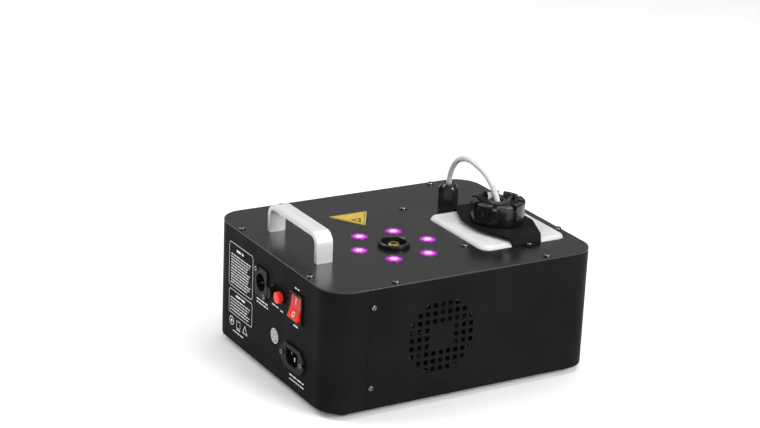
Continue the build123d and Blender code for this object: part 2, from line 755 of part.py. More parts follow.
with BuildPart() as tank_hollow:
    with BuildSketch(Plane.XY.offset(tank_bottom + tank_wall)):
        with Locations(opening_center):
            RectangleRounded(tank_size[0] - 2 * tank_wall, tank_size[1] - 2 * tank_wall, opening_radius - 3.0)
    extrude(amount=tank_top - tank_bottom - 2 * tank_wall)
    fillet(tank_hollow.edges().group_by(Axis.Z)[-1], 4.5)

with BuildPart() as tank:
    with BuildSketch(Plane.XY.offset(tank_bottom)):
        with Locations(opening_center):
            RectangleRounded(*tank_size, opening_radius - tank_gap)
    extrude(amount=tank_top - tank_bottom)
    fillet(tank.edges().group_by(Axis.Z)[-1], 6.0)
    fillet(tank.edges().group_by(Axis.Z)[0], 3.0)
    with BuildSketch(Plane.XY.offset(tank_top - tank_wall)):
        with Locations((neck_x, neck_y)):
            Circle(neck_radius)
    extrude(amount=neck_top - tank_top + tank_wall)
    add(tank_hollow.part, mode=Mode.SUBTRACT)
    with Locations((neck_x, neck_y, neck_top)):
        Hole(neck_radius - 3.0, depth=neck_top - tank_top + 2 * tank_wall)
save(tank.part, "tank")

tank_pad_size = (80.0, 90.0)
with BuildPart() as tank_pad:
    with BuildSketch(Plane.XY.offset(base_top)):
        with Locations(opening_center):
            RectangleRounded(*tank_pad_size, 6.0)
    extrude(amount=tank_bottom - base_top)
save(tank_pad.part, "tank_pad")

# ---------------------------------------------------------------- clamp plate over the tank

clamp_half_width = 34.0
clamp_half_end = 17.0
clamp_foot_half = 5.5
clamp_flat = 16.0  # half length of the widest part
clamp_reach = 53.2  # half length of the raised plate
clamp_drop = 4.2  # how far each end slants out on its way down
clamp_end = clamp_foot + clamp_foot_half + 5.5  # past the feet, cut to their outline afterwards
with BuildPart() as tank_clamp:
    with BuildSketch(Plane.YZ.offset(neck_x)):
        with BuildLine():
            Polyline(
                (neck_y - clamp_end, lid_top),
                (neck_y - clamp_reach - clamp_drop + 0.6, lid_top),
                (neck_y - clamp_reach + 0.6, clamp_top - clamp_sheet),
                (neck_y + clamp_reach - 0.6, clamp_top - clamp_sheet),
                (neck_y + clamp_reach + clamp_drop - 0.6, lid_top),
                (neck_y + clamp_end, lid_top),
                (neck_y + clamp_end, lid_top + clamp_sheet),
                (neck_y + clamp_reach + clamp_drop, lid_top + clamp_sheet),
                (neck_y + clamp_reach, clamp_top),
                (neck_y - clamp_reach, clamp_top),
                (neck_y - clamp_reach - clamp_drop, lid_top + clamp_sheet),
                (neck_y - clamp_end, lid_top + clamp_sheet),
                close=True,
            )
        make_face()
    extrude(amount=clamp_half_width + 1, both=True)
    with BuildSketch(Plane.XY.offset(lid_top - 1)):
        with Locations((neck_x, neck_y)):
            with BuildLine(mode=Mode.PRIVATE) as clamp_outline:
                Polyline(
                    (-clamp_half_width, -clamp_flat),
                    (-clamp_half_end, -clamp_reach - clamp_drop),
                    (clamp_half_end, -clamp_reach - clamp_drop),
                    (clamp_half_width, -clamp_flat),
                    (clamp_half_width, clamp_flat),
                    (clamp_half_end, clamp_reach + clamp_drop),
                    (-clamp_half_end, clamp_reach + clamp_drop),
                    (-clamp_half_width, clamp_flat),
                    close=True,
                )
            add(make_face(clamp_outline.edges(), mode=Mode.PRIVATE))
            with Locations((0, -clamp_foot), (0, clamp_foot)):
                Circle(clamp_foot_half)
            Rectangle(2 * clamp_foot_half, 2 * clamp_foot)
    extrude(amount=20.0, mode=Mode.INTERSECT)
    with Locations((neck_x, neck_y, clamp_top)):
        Hole(neck_radius + 1.5, depth=4.0)
    with Locations(*[(neck_x, y, lid_top + clamp_sheet) for y in clamp_screw_y]):
        Hole(m3_hole, depth=3.0)
save(tank_clamp.part, "tank_clamp")

with BuildPart() as clamp_screws:
    with Locations(*[(neck_x, y, lid_top + clamp_sheet) for y in clamp_screw_y]):
        add(pan_screw(*m3_screw[:3], 8.0))
save(clamp_screws.part, "clamp_screws")

# ---------------------------------------------------------------- tank cap, its gasket and the hose grommet

gasket_thickness = 1.0
flange_top = neck_top + gasket_thickness + 1.2
cap_roof_bottom = flange_top + 0.3
cap_roof_top = cap_roof_bottom + 2.5
cap_axis = Axis((neck_x, neck_y, 0), (0, 0, 1))
cap_plane = Plane(origin=(neck_x, neck_y, 0), x_dir=(1, 0, 0), z_dir=(0, -1, 0))
grommet_neck = 7.6
grommet_top = cap_top - 1.0
crown_inner = 19.0

with BuildPart() as tank_cap:
    with BuildSketch(Plane.XY.offset(cap_bottom)):
        with Locations((neck_x, neck_y)):
            Circle(cap_radius)
    extrude(amount=cap_top - cap_bottom)
    fillet(tank_cap.edges().group_by(Axis.Z)[-1], 1.6)
    fillet(tank_cap.edges().group_by(Axis.Z)[0], 0.8)
    with BuildSketch(Plane.XY.offset(cap_bottom + 3.0)):
        with Locations((neck_x, neck_y)):
            with PolarLocations(cap_radius + 0.4, cap_lobes, start_angle=cap_lobe_angle):
                RectangleRounded(3.4, 3.2, 0.8)
    extrude(amount=cap_top, mode=Mode.SUBTRACT)
    with Locations((neck_x, neck_y, cap_top)):
        CounterSinkHole(
            radius=crown_inner - 2.0,
            counter_sink_radius=crown_inner + 3.0,
            depth=cap_top - cap_roof_top,
            counter_sink_angle=60,
        )
    with BuildSketch(Plane.XY.offset(cap_top - 4.5)):
        with Locations((neck_x, neck_y)):
            with PolarLocations(22.0, cap_lobes, start_angle=cap_lobe_angle):
                Rectangle(20.0, 5.0)
    extrude(amount=10.0, mode=Mode.SUBTRACT)
    with Locations((neck_x, neck_y, cap_roof_top)):
        Hole(grommet_neck + 0.3)
    with Locations(Plane(origin=(neck_x, neck_y, cap_bottom), z_dir=(0, 0, -1))):
        Hole(neck_radius + 0.4, depth=cap_roof_bottom - cap_bottom)
save(tank_cap.part, "tank_cap")

with BuildPart() as cap_gasket:
    with BuildSketch(Plane.XY.offset(neck_top)):
        with Locations((neck_x, neck_y)):
            Circle(neck_radius - 0.2)
            Circle(neck_radius - 3.0, mode=Mode.SUBTRACT)
    extrude(amount=gasket_thickness)
save(cap_gasket.part, "cap_gasket")

hose_end_z = lid_top + hose_arch[-1][1]
with BuildPart() as cap_grommet:
    with BuildSketch(cap_plane):
        with BuildLine():
            Polyline(
                (hose_radius + 0.1, neck_top - 6.0),
                (hose_radius + 2.5, neck_top - 6.0),
                (hose_radius + 2.5, neck_top + gasket_thickness),
                (neck_radius - 0.4, neck_top + gasket_thickness),
                (neck_radius - 0.4, flange_top),
                (grommet_neck, flange_top),
                (grommet_neck, cap_roof_top + 0.3),
                (10.4, cap_roof_top + 0.3),
                (10.4, grommet_top - 1.4),
                (9.0, grommet_top),
                (6.2, grommet_top),
                (hose_radius + 0.25, hose_end_z + 1.5),
                (hose_radius + 0.1, hose_end_z),
                close=True,
            )
        make_face()
    revolve(axis=cap_axis)
save(cap_grommet.part, "cap_grommet")

filter_bottom = tank_bottom + tank_wall + 2.0
filter_top = filter_bottom + 16.0
with BuildPart() as pickup_tube:
    with BuildSketch(Plane.XY.offset(filter_bottom + 6.0)):
        with Locations((neck_x, neck_y)):
            Circle(hose_radius)
            Circle(hose_radius - 1.0, mode=Mode.SUBTRACT)
    extrude(amount=hose_end_z - filter_bottom - 6.0)
save(pickup_tube.part, "pickup_tube")

with BuildPart() as pickup_filter:
    with BuildSketch(Plane.XY.offset(filter_bottom)):
        with Locations((neck_x, neck_y)):
            Circle(8.0)
    extrude(amount=filter_top - filter_bottom)
    fillet(pickup_filter.edges().group_by(Axis.Z)[-1], 2.0)
    with Locations((neck_x, neck_y, filter_top)):
        Hole(hose_radius + 0.05, depth=filter_top - filter_bottom - 6.0)
save(pickup_filter.part, "pickup_filter")

# ---------------------------------------------------------------- cable gland and the hoses

gland_flats = 9.2
gland_seat = lid_top + 9.6
gland_nut_top = lid_top + 24.5
nut_corner = (10.6, gland_nut_top - 11.0)  # radius and height where the nut's dome starts, then its middle
nut_shoulder = (9.5, gland_nut_top - 4.0)
nut_rim = (6.2, gland_nut_top)
gland_plane = Plane(origin=(gland_x, gland_y, 0), x_dir=(1, 0, 0), z_dir=(0, -1, 0))
gland_axis = Axis((gland_x, gland_y, 0), (0, 0, 1))
hose_clear = hose_radius + 0.1

with BuildPart() as gland_body:
    with BuildSketch(Plane.XY.offset(lid_top)):
        with Locations((gland_x, gland_y)):
            RegularPolygon(gland_flats, 6, major_radius=False, rotation=30)
    extrude(amount=gland_seat - lid_top)
    with BuildSketch(Plane.XY.offset(lid_bottom - 10.0)):
        with Locations((gland_x, gland_y)):
            Circle(gland_thread)
    extrude(amount=gland_seat - lid_bottom + 22.0)
    with Locations((gland_x, gland_y, gland_seat + 20.0)):
        Hole(hose_clear)
save(gland_body.part, "gland_body")

with BuildPart() as gland_nut:
    with BuildSketch(Plane.XY.offset(gland_seat + 0.4)):
        with Locations((gland_x, gland_y)):
            RegularPolygon(gland_flats, 6, major_radius=False, rotation=30)
    extrude(amount=gland_nut_top - gland_seat - 0.4)
    with BuildSketch(gland_plane):
        with BuildLine():
            Polyline((0, gland_seat + 0.4), (nut_corner[0], gland_seat + 0.4), nut_corner)
            ThreePointArc(nut_corner, nut_shoulder, nut_rim)
            Polyline(nut_rim, (0, gland_nut_top), (0, gland_seat + 0.4))
        make_face()
    revolve(axis=gland_axis, mode=Mode.INTERSECT)
    with Locations((gland_x, gland_y, gland_nut_top)):
        CounterSinkHole(hose_clear, 5.0, counter_sink_angle=90)
    with Locations(Plane(origin=(gland_x, gland_y, gland_seat), z_dir=(0, 0, -1))):
        Hole(gland_thread + 0.1, depth=12.6)
save(gland_nut.part, "gland_nut")

with BuildPart() as gland_locknut:
    with BuildSketch(Plane.XY.offset(lid_bottom - 4.0)):
        with Locations((gland_x, gland_y)):
            RegularPolygon(10.5, 6, major_radius=False)
            Circle(gland_thread + 0.1, mode=Mode.SUBTRACT)
    extrude(amount=4.0)
save(gland_locknut.part, "gland_locknut")


def tangent_arc_tube(points, radius):
    """A tube along straight runs joined by arcs as large as the runs allow, and its bend radii."""
    corners = [Vector(*point) for point in points]
    radii = []
    for before, corner, after in zip(corners, corners[1:], corners[2:]):
        run_in, run_out = corner - before, after - corner
        half_turn = radians(run_in.get_angle(run_out)) / 2
        radii.append(0.45 * min(run_in.length, run_out.length) / tan(half_turn))
    with BuildPart() as tube:
        with BuildLine() as route:
            FilletPolyline(*points, radius=radii)
        with BuildSketch(Plane(origin=route.line @ 0, z_dir=route.line % 0)):
            Circle(radius)
        sweep(path=route.line)
    length = sum(edge.length for edge in route.edges())
    print("radii", [round(value, 1) for value in radii], "length", round(length, 1))
    print("volume over section times length", round(tube.part.volume / (pi * radius**2 * length), 4))
    return tube.part


arch_length = hypot(neck_x - gland_x, neck_y - gland_y)
arch_way = ((neck_x - gland_x) / arch_length, (neck_y - gland_y) / arch_length)
arch_points = [
    (gland_x + along * arch_way[0], gland_y + along * arch_way[1], lid_top + height)
    for along, height in hose_arch
]
suction_hose = tangent_arc_tube(arch_points, hose_radius)
save(suction_hose, "suction_hose")

feed_points = [
    (gland_x, gland_y, hose_seam),
    (gland_x, gland_y, 105.0),
    (81.0, 63.0, 75.0),
    (67.0, 77.5, 54.0),
    (50.0, pump_y, pump_z),
    (pump_x + 36.0, pump_y, pump_z),
]
feed_hose = tangent_arc_tube(feed_points, hose_radius)
save(feed_hose, "feed_hose")

heater_tube_points = [
    (pump_x - 39.0, pump_y, pump_z),
    (pump_x - 49.0, pump_y, pump_z),
    (pump_x - 57.0, pump_y - 7.0, pump_z + 3.0),
    (pump_x - 60.0, pump_y - 22.0, pump_z + 6.0),
    (pump_x - 53.0, pump_y - 42.0, pump_z + 9.0),
    (feed_port[0] - 4.4, feed_port[1] + 23.4, feed_port[2] - 1.0),
    (feed_port[0], feed_port[1] + 11.4, feed_port[2]),
    (feed_port[0], feed_port[1] - 8.0, feed_port[2]),
]
heater_tube = tangent_arc_tube(heater_tube_points, feed_tube_radius)
save(heater_tube, "heater_tube")

# ---------------------------------------------------------------- remote socket on the control panel

socket_flange = 2.0
with BuildPart() as remote_socket:
    with BuildSketch(panel_plane(socket_spot)):
        RectangleRounded(26.0, 31.0, 3.0)
    extrude(amount=socket_flange)
    with BuildSketch(panel_plane(socket_spot)):
        Circle(11.8)
    extrude(amount=-22.0)
    with BuildSketch(panel_plane(socket_spot, socket_flange)):
        Circle(9.4)
    extrude(amount=-15.0, mode=Mode.SUBTRACT)
    with BuildSketch(panel_plane(socket_spot, socket_flange)):
        with Locations((-9.5, 12.0), (9.5, -12.0)):
            Circle(m3_hole)
    extrude(amount=-socket_flange, mode=Mode.SUBTRACT)
save(remote_socket.part, "remote_socket")

with BuildPart() as socket_pins:
    with BuildSketch(panel_plane(socket_spot, -13.0)):
        with PolarLocations(4.6, 3, start_angle=90):
            Circle(1.2)
    extrude(amount=11.0)
save(socket_pins.part, "socket_pins")

# ---------------------------------------------------------------- fuse holder, its cap and the fuse

fuse_flange = 1.6
fuse_bore = 4.3
with BuildPart() as fuse_holder:
    with BuildSketch(panel_plane(fuse_spot)):
        Circle(7.4)
    extrude(amount=fuse_flange)
    with BuildSketch(panel_plane(fuse_spot)):
        Circle(6.0)
    extrude(amount=-30.0)
    with BuildSketch(panel_plane(fuse_spot, -sheet)):
        RegularPolygon(7.9, 6)
    extrude(amount=-3.0)
    with BuildSketch(panel_plane(fuse_spot, fuse_flange)):
        Circle(fuse_bore)
    extrude(amount=-29.0, mode=Mode.SUBTRACT)
save(fuse_holder.part, "fuse_holder")

with BuildPart() as fuse_cap:
    with BuildSketch(panel_plane(fuse_spot, fuse_flange + 0.3)):
        Circle(6.0)
    extrude(amount=panel_reach - fuse_flange - 0.3)
    fillet(fuse_cap.edges().group_by(Axis.X)[0], 0.6)
    with BuildSketch(panel_plane(fuse_spot, panel_reach)):
        Rectangle(1.4, 9.0)
    extrude(amount=-1.6, mode=Mode.SUBTRACT)
    with BuildSketch(panel_plane(fuse_spot, fuse_flange + 0.3)):
        Circle(fuse_bore - 0.3)
    extrude(amount=-8.0)
save(fuse_cap.part, "fuse_cap")

with BuildPart() as fuse_link:
    with BuildSketch(panel_plane(fuse_spot, fuse_flange - 8.0)):
        Circle(2.6)
    extrude(amount=-20.0)
save(fuse_link.part, "fuse_link")

# ---------------------------------------------------------------- push button

button_flange = 2.0
button_rest = 3.0
button_reach = 6.8
button_travel = 2.4
button_stem = 8.0
button_depth = 16.0
button_spring_length = button_depth - button_stem - 2 * spring_wire
with BuildPart() as button_housing:
    with BuildSketch(panel_plane(button_spot)):
        Circle(7.6)
    extrude(amount=button_flange)
    with BuildSketch(panel_plane(button_spot)):
        Circle(6.0)
    extrude(amount=-button_depth - 2.0)
    with BuildSketch(panel_plane(button_spot, -sheet)):
        RegularPolygon(7.3, 6)
    extrude(amount=-3.0)
    with BuildSketch(panel_plane(button_spot, button_flange)):
        Circle(6.3)
    extrude(amount=0.4 - button_flange, mode=Mode.SUBTRACT)
    with BuildSketch(panel_plane(button_spot, button_flange)):
        Circle(4.6)
    extrude(amount=-button_depth - button_flange, mode=Mode.SUBTRACT)
save(button_housing.part, "button_housing")

with BuildPart() as button_cap:
    with BuildSketch(panel_plane(button_spot, button_rest)):
        Circle(6.0)
    extrude(amount=button_reach - button_rest)
    fillet(button_cap.edges().group_by(Axis.X)[0], 0.8)
    with BuildSketch(panel_plane(button_spot, button_rest)):
        Circle(4.3)
    extrude(amount=-button_rest - button_stem)
save(button_cap.part, "button_cap")

with BuildPart() as button_spring:
    with BuildLine(panel_plane(button_spot, -button_depth + spring_wire)) as button_coil_path:
        Helix(pitch=1.7, height=button_spring_length, radius=3.4, direction=(-1, 0, 0))
    with BuildSketch(Plane(origin=button_coil_path.line @ 0, z_dir=button_coil_path.line % 0)):
        Circle(spring_wire)
    sweep(path=button_coil_path.line, is_frenet=True)
save(button_spring.part, "button_spring")

# ---------------------------------------------------------------- rocker switch

rocker_flange = 2.0
rocker_pivot = -1.0  # how far out of the panel the pivot stands
rocker_tilt = 11.0
rocker_half_width = 10.2
rocker_side = Plane(origin=panel_plane(rocker_spot, rocker_pivot).origin, x_dir=(-1, 0, 0), z_dir=(0, 1, 0))
with BuildPart() as rocker_frame:
    with BuildSketch(panel_plane(rocker_spot)):
        RectangleRounded(25.0, 31.0, 1.5)
    extrude(amount=rocker_flange)
    with BuildSketch(panel_plane(rocker_spot)):
        Rectangle(22.0, 28.5)
    extrude(amount=-18.0)
    with BuildSketch(panel_plane(rocker_spot, rocker_flange)):
        Rectangle(2 * rocker_half_width + 0.6, 27.2)
    extrude(amount=-10.0, mode=Mode.SUBTRACT)
    with BuildSketch(panel_plane(rocker_spot, -18.0)):
        with Locations((-6.0, 8.0), (-6.0, -8.0), (6.0, 8.0), (6.0, -8.0)):
            Rectangle(0.8, 6.3)
    extrude(amount=-9.0)
    with BuildSketch(rocker_side):
        Circle(1.3)
    extrude(amount=rocker_half_width + 0.6, both=True, mode=Mode.SUBTRACT)
save(rocker_frame.part, "rocker_frame")

with BuildPart() as rocker_paddle:
    with BuildSketch(rocker_side):
        with BuildLine():
            Polyline((4.5, 12.4), (3.0, 0.0), (4.5, -12.4), (-3.5, -9.5), (-3.5, 9.5), close=True)
        make_face()
    extrude(amount=rocker_half_width, both=True)
    fillet(rocker_paddle.edges().filter_by(Axis.Y).group_by(Axis.X)[0], 0.6)
    with BuildSketch(rocker_side):
        Circle(1.2)
    extrude(amount=rocker_half_width + 0.5, both=True)
save(rocker_paddle.part.rotate(Axis(rocker_side.origin, (0, 1, 0)), rocker_tilt), "rocker_paddle")

# ---------------------------------------------------------------- mains inlet

inlet_flange = 2.2
with BuildPart() as mains_inlet:
    with BuildSketch(panel_plane(inlet_spot)):
        with BuildLine():
            Polyline(
                (-15.5, 13.0),
                (15.5, 13.0),
                (24.5, 5.0),
                (24.5, -5.0),
                (15.5, -13.0),
                (-15.5, -13.0),
                (-24.5, -5.0),
                (-24.5, 5.0),
                close=True,
            )
        make_face()
        fillet(vertices(), 2.5)
    extrude(amount=inlet_flange)
    with BuildSketch(panel_plane(inlet_spot)):
        RectangleRounded(27.4, 20.4, 2.0)
    extrude(amount=-22.0)
    with BuildSketch(panel_plane(inlet_spot, inlet_flange)):
        with BuildLine():
            Polyline(
                (-12.2, 8.2),
                (12.2, 8.2),
                (12.2, -3.6),
                (7.6, -8.2),
                (-7.6, -8.2),
                (-12.2, -3.6),
                close=True,
            )
        make_face()
        fillet(vertices(), 1.0)
    extrude(amount=-18.2, mode=Mode.SUBTRACT)
    with BuildSketch(panel_plane(inlet_spot, inlet_flange)):
        with Locations((-20.0, 0), (20.0, 0)):
            Circle(m3_hole)
    extrude(amount=-inlet_flange, mode=Mode.SUBTRACT)
save(mains_inlet.part, "mains_inlet")

with BuildPart() as inlet_pins:
    with BuildSketch(panel_plane(inlet_spot, inlet_flange - 18.2)):
        with Locations((-7.0, 2.0), (7.0, 2.0), (0, -2.0)):
            Rectangle(2.0, 4.0)
    extrude(amount=14.5)
save(inlet_pins.part, "inlet_pins")

with BuildPart() as panel_screws:
    with Locations(*[panel_plane(spot, socket_flange) for spot in socket_screw_spots]):
        add(pan_screw(*m3_screw))
    with Locations(*[panel_plane(spot, inlet_flange) for spot in inlet_screw_spots]):
        add(pan_screw(*m3_screw))
save(panel_screws.part, "panel_screws")
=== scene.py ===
import json
from math import cos, pi, radians, sin

import bmesh
import bpy
from mathutils import Matrix, Vector


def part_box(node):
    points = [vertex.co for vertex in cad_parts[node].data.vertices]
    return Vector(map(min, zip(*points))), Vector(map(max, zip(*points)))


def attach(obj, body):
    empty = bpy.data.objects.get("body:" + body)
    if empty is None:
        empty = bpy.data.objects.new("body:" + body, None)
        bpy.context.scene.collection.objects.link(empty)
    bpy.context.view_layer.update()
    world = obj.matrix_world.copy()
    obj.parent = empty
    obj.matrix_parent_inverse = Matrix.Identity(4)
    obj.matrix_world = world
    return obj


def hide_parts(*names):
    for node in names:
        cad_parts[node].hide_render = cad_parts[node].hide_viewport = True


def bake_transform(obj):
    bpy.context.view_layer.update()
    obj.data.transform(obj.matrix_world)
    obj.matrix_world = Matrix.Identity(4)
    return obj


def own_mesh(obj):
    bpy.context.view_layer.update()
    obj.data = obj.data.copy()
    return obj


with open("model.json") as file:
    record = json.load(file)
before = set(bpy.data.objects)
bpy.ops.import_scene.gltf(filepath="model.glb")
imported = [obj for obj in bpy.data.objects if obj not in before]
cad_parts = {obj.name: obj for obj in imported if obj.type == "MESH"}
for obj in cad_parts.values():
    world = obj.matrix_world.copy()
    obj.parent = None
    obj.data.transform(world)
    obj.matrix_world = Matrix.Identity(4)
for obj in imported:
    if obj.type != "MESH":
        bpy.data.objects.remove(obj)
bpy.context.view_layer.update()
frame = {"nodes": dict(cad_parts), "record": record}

# Fog machine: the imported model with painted, moulded and printed surfaces, its suction hose,
# lamps, springs, prints and studio. Metres, +Z up, -Y is the side with the fan, -X the control panel.

nodes = frame["nodes"]

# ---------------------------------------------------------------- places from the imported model

lid_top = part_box("lid")[1].z
panel_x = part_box("end_shell")[0].x
body_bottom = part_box("end_shell")[0].z


def middle(node):
    """Centre of a node's box."""
    low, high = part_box(node)
    return (low + high) / 2


nozzle = middle("nozzle_ring")
gland = middle("gland_body")
neck = middle("cap_grommet")
rocker = middle("rocker_frame")

# ---------------------------------------------------------------- camera

camera_place = Vector((-1.01769, -1.65243, 0.83937))
camera_azimuth = radians(-30.952)
camera_elevation = radians(19.518)
camera_roll = radians(2.546)
lens_mm = 95.25
sensor_width_mm = 36.0


def make_camera():
    """A long lens from above the front left corner."""
    back = Vector(
        (
            sin(camera_azimuth) * cos(camera_elevation),
            -cos(camera_azimuth) * cos(camera_elevation),
            sin(camera_elevation),
        )
    )
    level = (-back).cross(Vector((0, 0, 1))).normalized()
    upright = level.cross(-back)
    right = cos(camera_roll) * level + sin(camera_roll) * upright
    up = -sin(camera_roll) * level + cos(camera_roll) * upright
    data = bpy.data.cameras.new("camera")
    data.lens = lens_mm
    data.sensor_width = sensor_width_mm
    camera = bpy.data.objects.new("camera", data)
    turn = Matrix((right, up, back)).transposed().to_4x4()
    camera.matrix_world = Matrix.Translation(camera_place) @ turn
    bpy.context.scene.collection.objects.link(camera)
    bpy.context.scene.camera = camera


make_camera()

# ---------------------------------------------------------------- mesh helpers

merge_distance = 1e-7


def new_piece(name, points, faces, smooth=False):
    """A mesh object that rides on no body yet."""
    mesh = bpy.data.meshes.new(name)
    mesh.from_pydata([tuple(point) for point in points], [], faces)
    mesh.validate()
    builder = bmesh.new()
    builder.from_mesh(mesh)
    bmesh.ops.recalc_face_normals(builder, faces=builder.faces)
    builder.to_mesh(mesh)
    builder.free()
    for polygon in mesh.polygons:
        polygon.use_smooth = smooth
    piece = bpy.data.objects.new(name, mesh)
    bpy.context.scene.collection.objects.link(piece)
    return piece


class Solids:
    """Collects points and faces of several closed solids for one mesh."""

    def __init__(self):
        self.points = []
        self.faces = []

    def prism(self, outline, place, thickness):
        """A closed plate from an outline of (across, up); place maps (across, up, out) to a point."""
        start, count = len(self.points), len(outline)
        for out in (0.0, thickness):
            self.points += [place(across, up, out) for across, up in outline]
        self.faces.append([start + i for i in range(count)])
        self.faces.append([start + count + i for i in range(count)])
        for i in range(count):
            j = (i + 1) % count
            self.faces.append([start + i, start + j, start + count + j, start + count + i])

    def band(self, outer, inner, place, thickness):
        """A closed flat ring between two outlines with as many points each."""
        start, count = len(self.points), len(outer)
        for out in (0.0, thickness):
            for outline in (outer, inner):
                self.points += [place(across, up, out) for across, up in outline]
        for i in range(count):
            j = (i + 1) % count
            low_out, low_in, high_out, high_in = (start + count * k for k in range(4))
            self.faces.append([low_out + i, low_out + j, low_in + j, low_in + i])
            self.faces.append([high_out + i, high_out + j, high_in + j, high_in + i])
            self.faces.append([low_out + i, low_out + j, high_out + j, high_out + i])
            self.faces.append([low_in + i, low_in + j, high_in + j, high_in + i])

    def lathe(self, profile, place, steps=48):
        """A closed solid of revolution, from a loop or from a line with both ends on the axis."""
        start = len(self.points)
        closed = profile[0][0] > 0 and profile[-1][0] > 0
        count = len(profile)
        for step in range(steps):
            angle = 2 * pi * step / steps
            self.points += [place(r * cos(angle), r * sin(angle), h) for r, h in profile]
        for step in range(steps):
            here, there = start + step * count, start + ((step + 1) % steps) * count
            for i in range(count if closed else count - 1):
                j = (i + 1) % count
                self.faces.append([here + i, here + j, there + j, there + i])

    def piece(self, name, body, smooth=False):
        """The collected solids as one object, with the repeated points on an axis merged."""
        made = new_piece(name, self.points, self.faces, smooth)
        builder = bmesh.new()
        builder.from_mesh(made.data)
        bmesh.ops.remove_doubles(builder, verts=builder.verts, dist=merge_distance)
        bmesh.ops.recalc_face_normals(builder, faces=builder.faces)
        builder.to_mesh(made.data)
        builder.free()
        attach(made, body)
        return made


def rounded_box(center, size, radius, steps=5):
    """Outline of a rectangle with rounded corners."""
    outline = []
    for quarter, (side, rise) in enumerate([(1, 1), (-1, 1), (-1, -1), (1, -1)]):
        corner_x = center[0] + side * (size[0] / 2 - radius)
        corner_y = center[1] + rise * (size[1] / 2 - radius)
        for step in range(steps + 1):
            angle = pi / 2 * (quarter + step / steps)
            outline.append((corner_x + radius * cos(angle), corner_y + radius * sin(angle)))
    return outline


def circle(center, radius, steps=32):
    """Outline of a circle."""
    return [
        (center[0] + radius * cos(2 * pi * i / steps), center[1] + radius * sin(2 * pi * i / steps))
        for i in range(steps)
    ]


def on_panel(across, up, out):
    """Point on the control panel: across is Y, up is from the body's bottom, out is outwards."""
    return Vector((panel_x - out, across, body_bottom + up))


def on_lid(across, along, out):
    """Point on the lid."""
    return Vector((across, along, lid_top + out))


# ---------------------------------------------------------------- suction hose

hose_diameter = 0.006
hose_sides = 28
hose_steps = 14  # rings for each of its control points
# height over the lid of the line along which the hose goes from the body's motion to the cap's
# distance from the gland towards the cap, height above the lid
hose_arch = [
    (0.0, 0.0225),
    (0.0, 0.03),
    (0.0055, 0.045),
    (0.0145, 0.055),
    (0.03, 0.0595),
    (0.046, 0.0565),
    (0.06, 0.0515),
    (0.072, 0.0425),
    (0.0795, 0.0325),
    (0.08244, 0.0255),
    (0.08244, 0.019),
]


def hose_route():
    """The hose's control points."""
    way = Vector((neck.x - gland.x, neck.y - gland.y, 0)).normalized()
    start = Vector((gland.x, gland.y, lid_top))
    return [start + along * way + Vector((0, 0, height)) for along, height in hose_arch]


def spline_points(route, resolution):
    """Points along the smooth curve that a route's points control, resolution steps to a point."""
    curve = bpy.data.curves.new("route", "CURVE")
    curve.dimensions = "3D"
    spline = curve.splines.new("NURBS")
    spline.points.add(len(route) - 1)
    for point, place in zip(spline.points, route):
        point.co = (*place, 1.0)
    spline.order_u = 3
    spline.use_endpoint_u = True
    spline.resolution_u = resolution
    holder = bpy.data.objects.new("route", curve)
    bpy.context.scene.collection.objects.link(holder)
    bpy.context.view_layer.update()
    mesh = bpy.data.meshes.new_from_object(holder)
    points = [vertex.co.copy() for vertex in mesh.vertices]
    bpy.data.objects.remove(holder)
    bpy.data.meshes.remove(mesh)
    return points


def tube_along(name, path, radius, sides):
    """A closed tube of one radius along a path, its rings turned no more than the path turns."""
    points, faces = [], []
    ahead = (path[1] - path[0]).normalized()
    side = ahead.orthogonal().normalized()
    for i, place in enumerate(path):
        before, after = path[max(i - 1, 0)], path[min(i + 1, len(path) - 1)]
        turned = (after - before).normalized()
        side = (ahead.rotation_difference(turned) @ side).normalized()
        ahead = turned
        other = ahead.cross(side)
        for k in range(sides):
            angle = 2 * pi * k / sides
            points.append(place + radius * (cos(angle) * side + sin(angle) * other))
    for i in range(len(path) - 1):
        for k in range(sides):
            here, there = i * sides, (i + 1) * sides
            after_k = (k + 1) % sides
            faces.append([here + k, here + after_k, there + after_k, there + k])
    faces.append(list(range(sides)))
    faces.append([(len(path) - 1) * sides + k for k in range(sides)])
    return new_piece(name, points, faces, smooth=True)


def make_hose():
    """The translucent hose that arches from the gland into the cap."""
    route = hose_route()
    path = spline_points(route, hose_steps)
    hose = tube_along("hose", path, hose_diameter / 2, hose_sides)
    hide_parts("suction_hose")
    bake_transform(hose)
    return hose


hose = make_hose()

# ---------------------------------------------------------------- materials

lamp_radius = 0.0097
lamp_petals = 8
# how far the petals and a ripple shift the lamp's colours, in radii
petal_depth = 0.07
lamp_ripple = 0.09
fuse_end = 0.27  # share of the fuse's length that each metal end covers


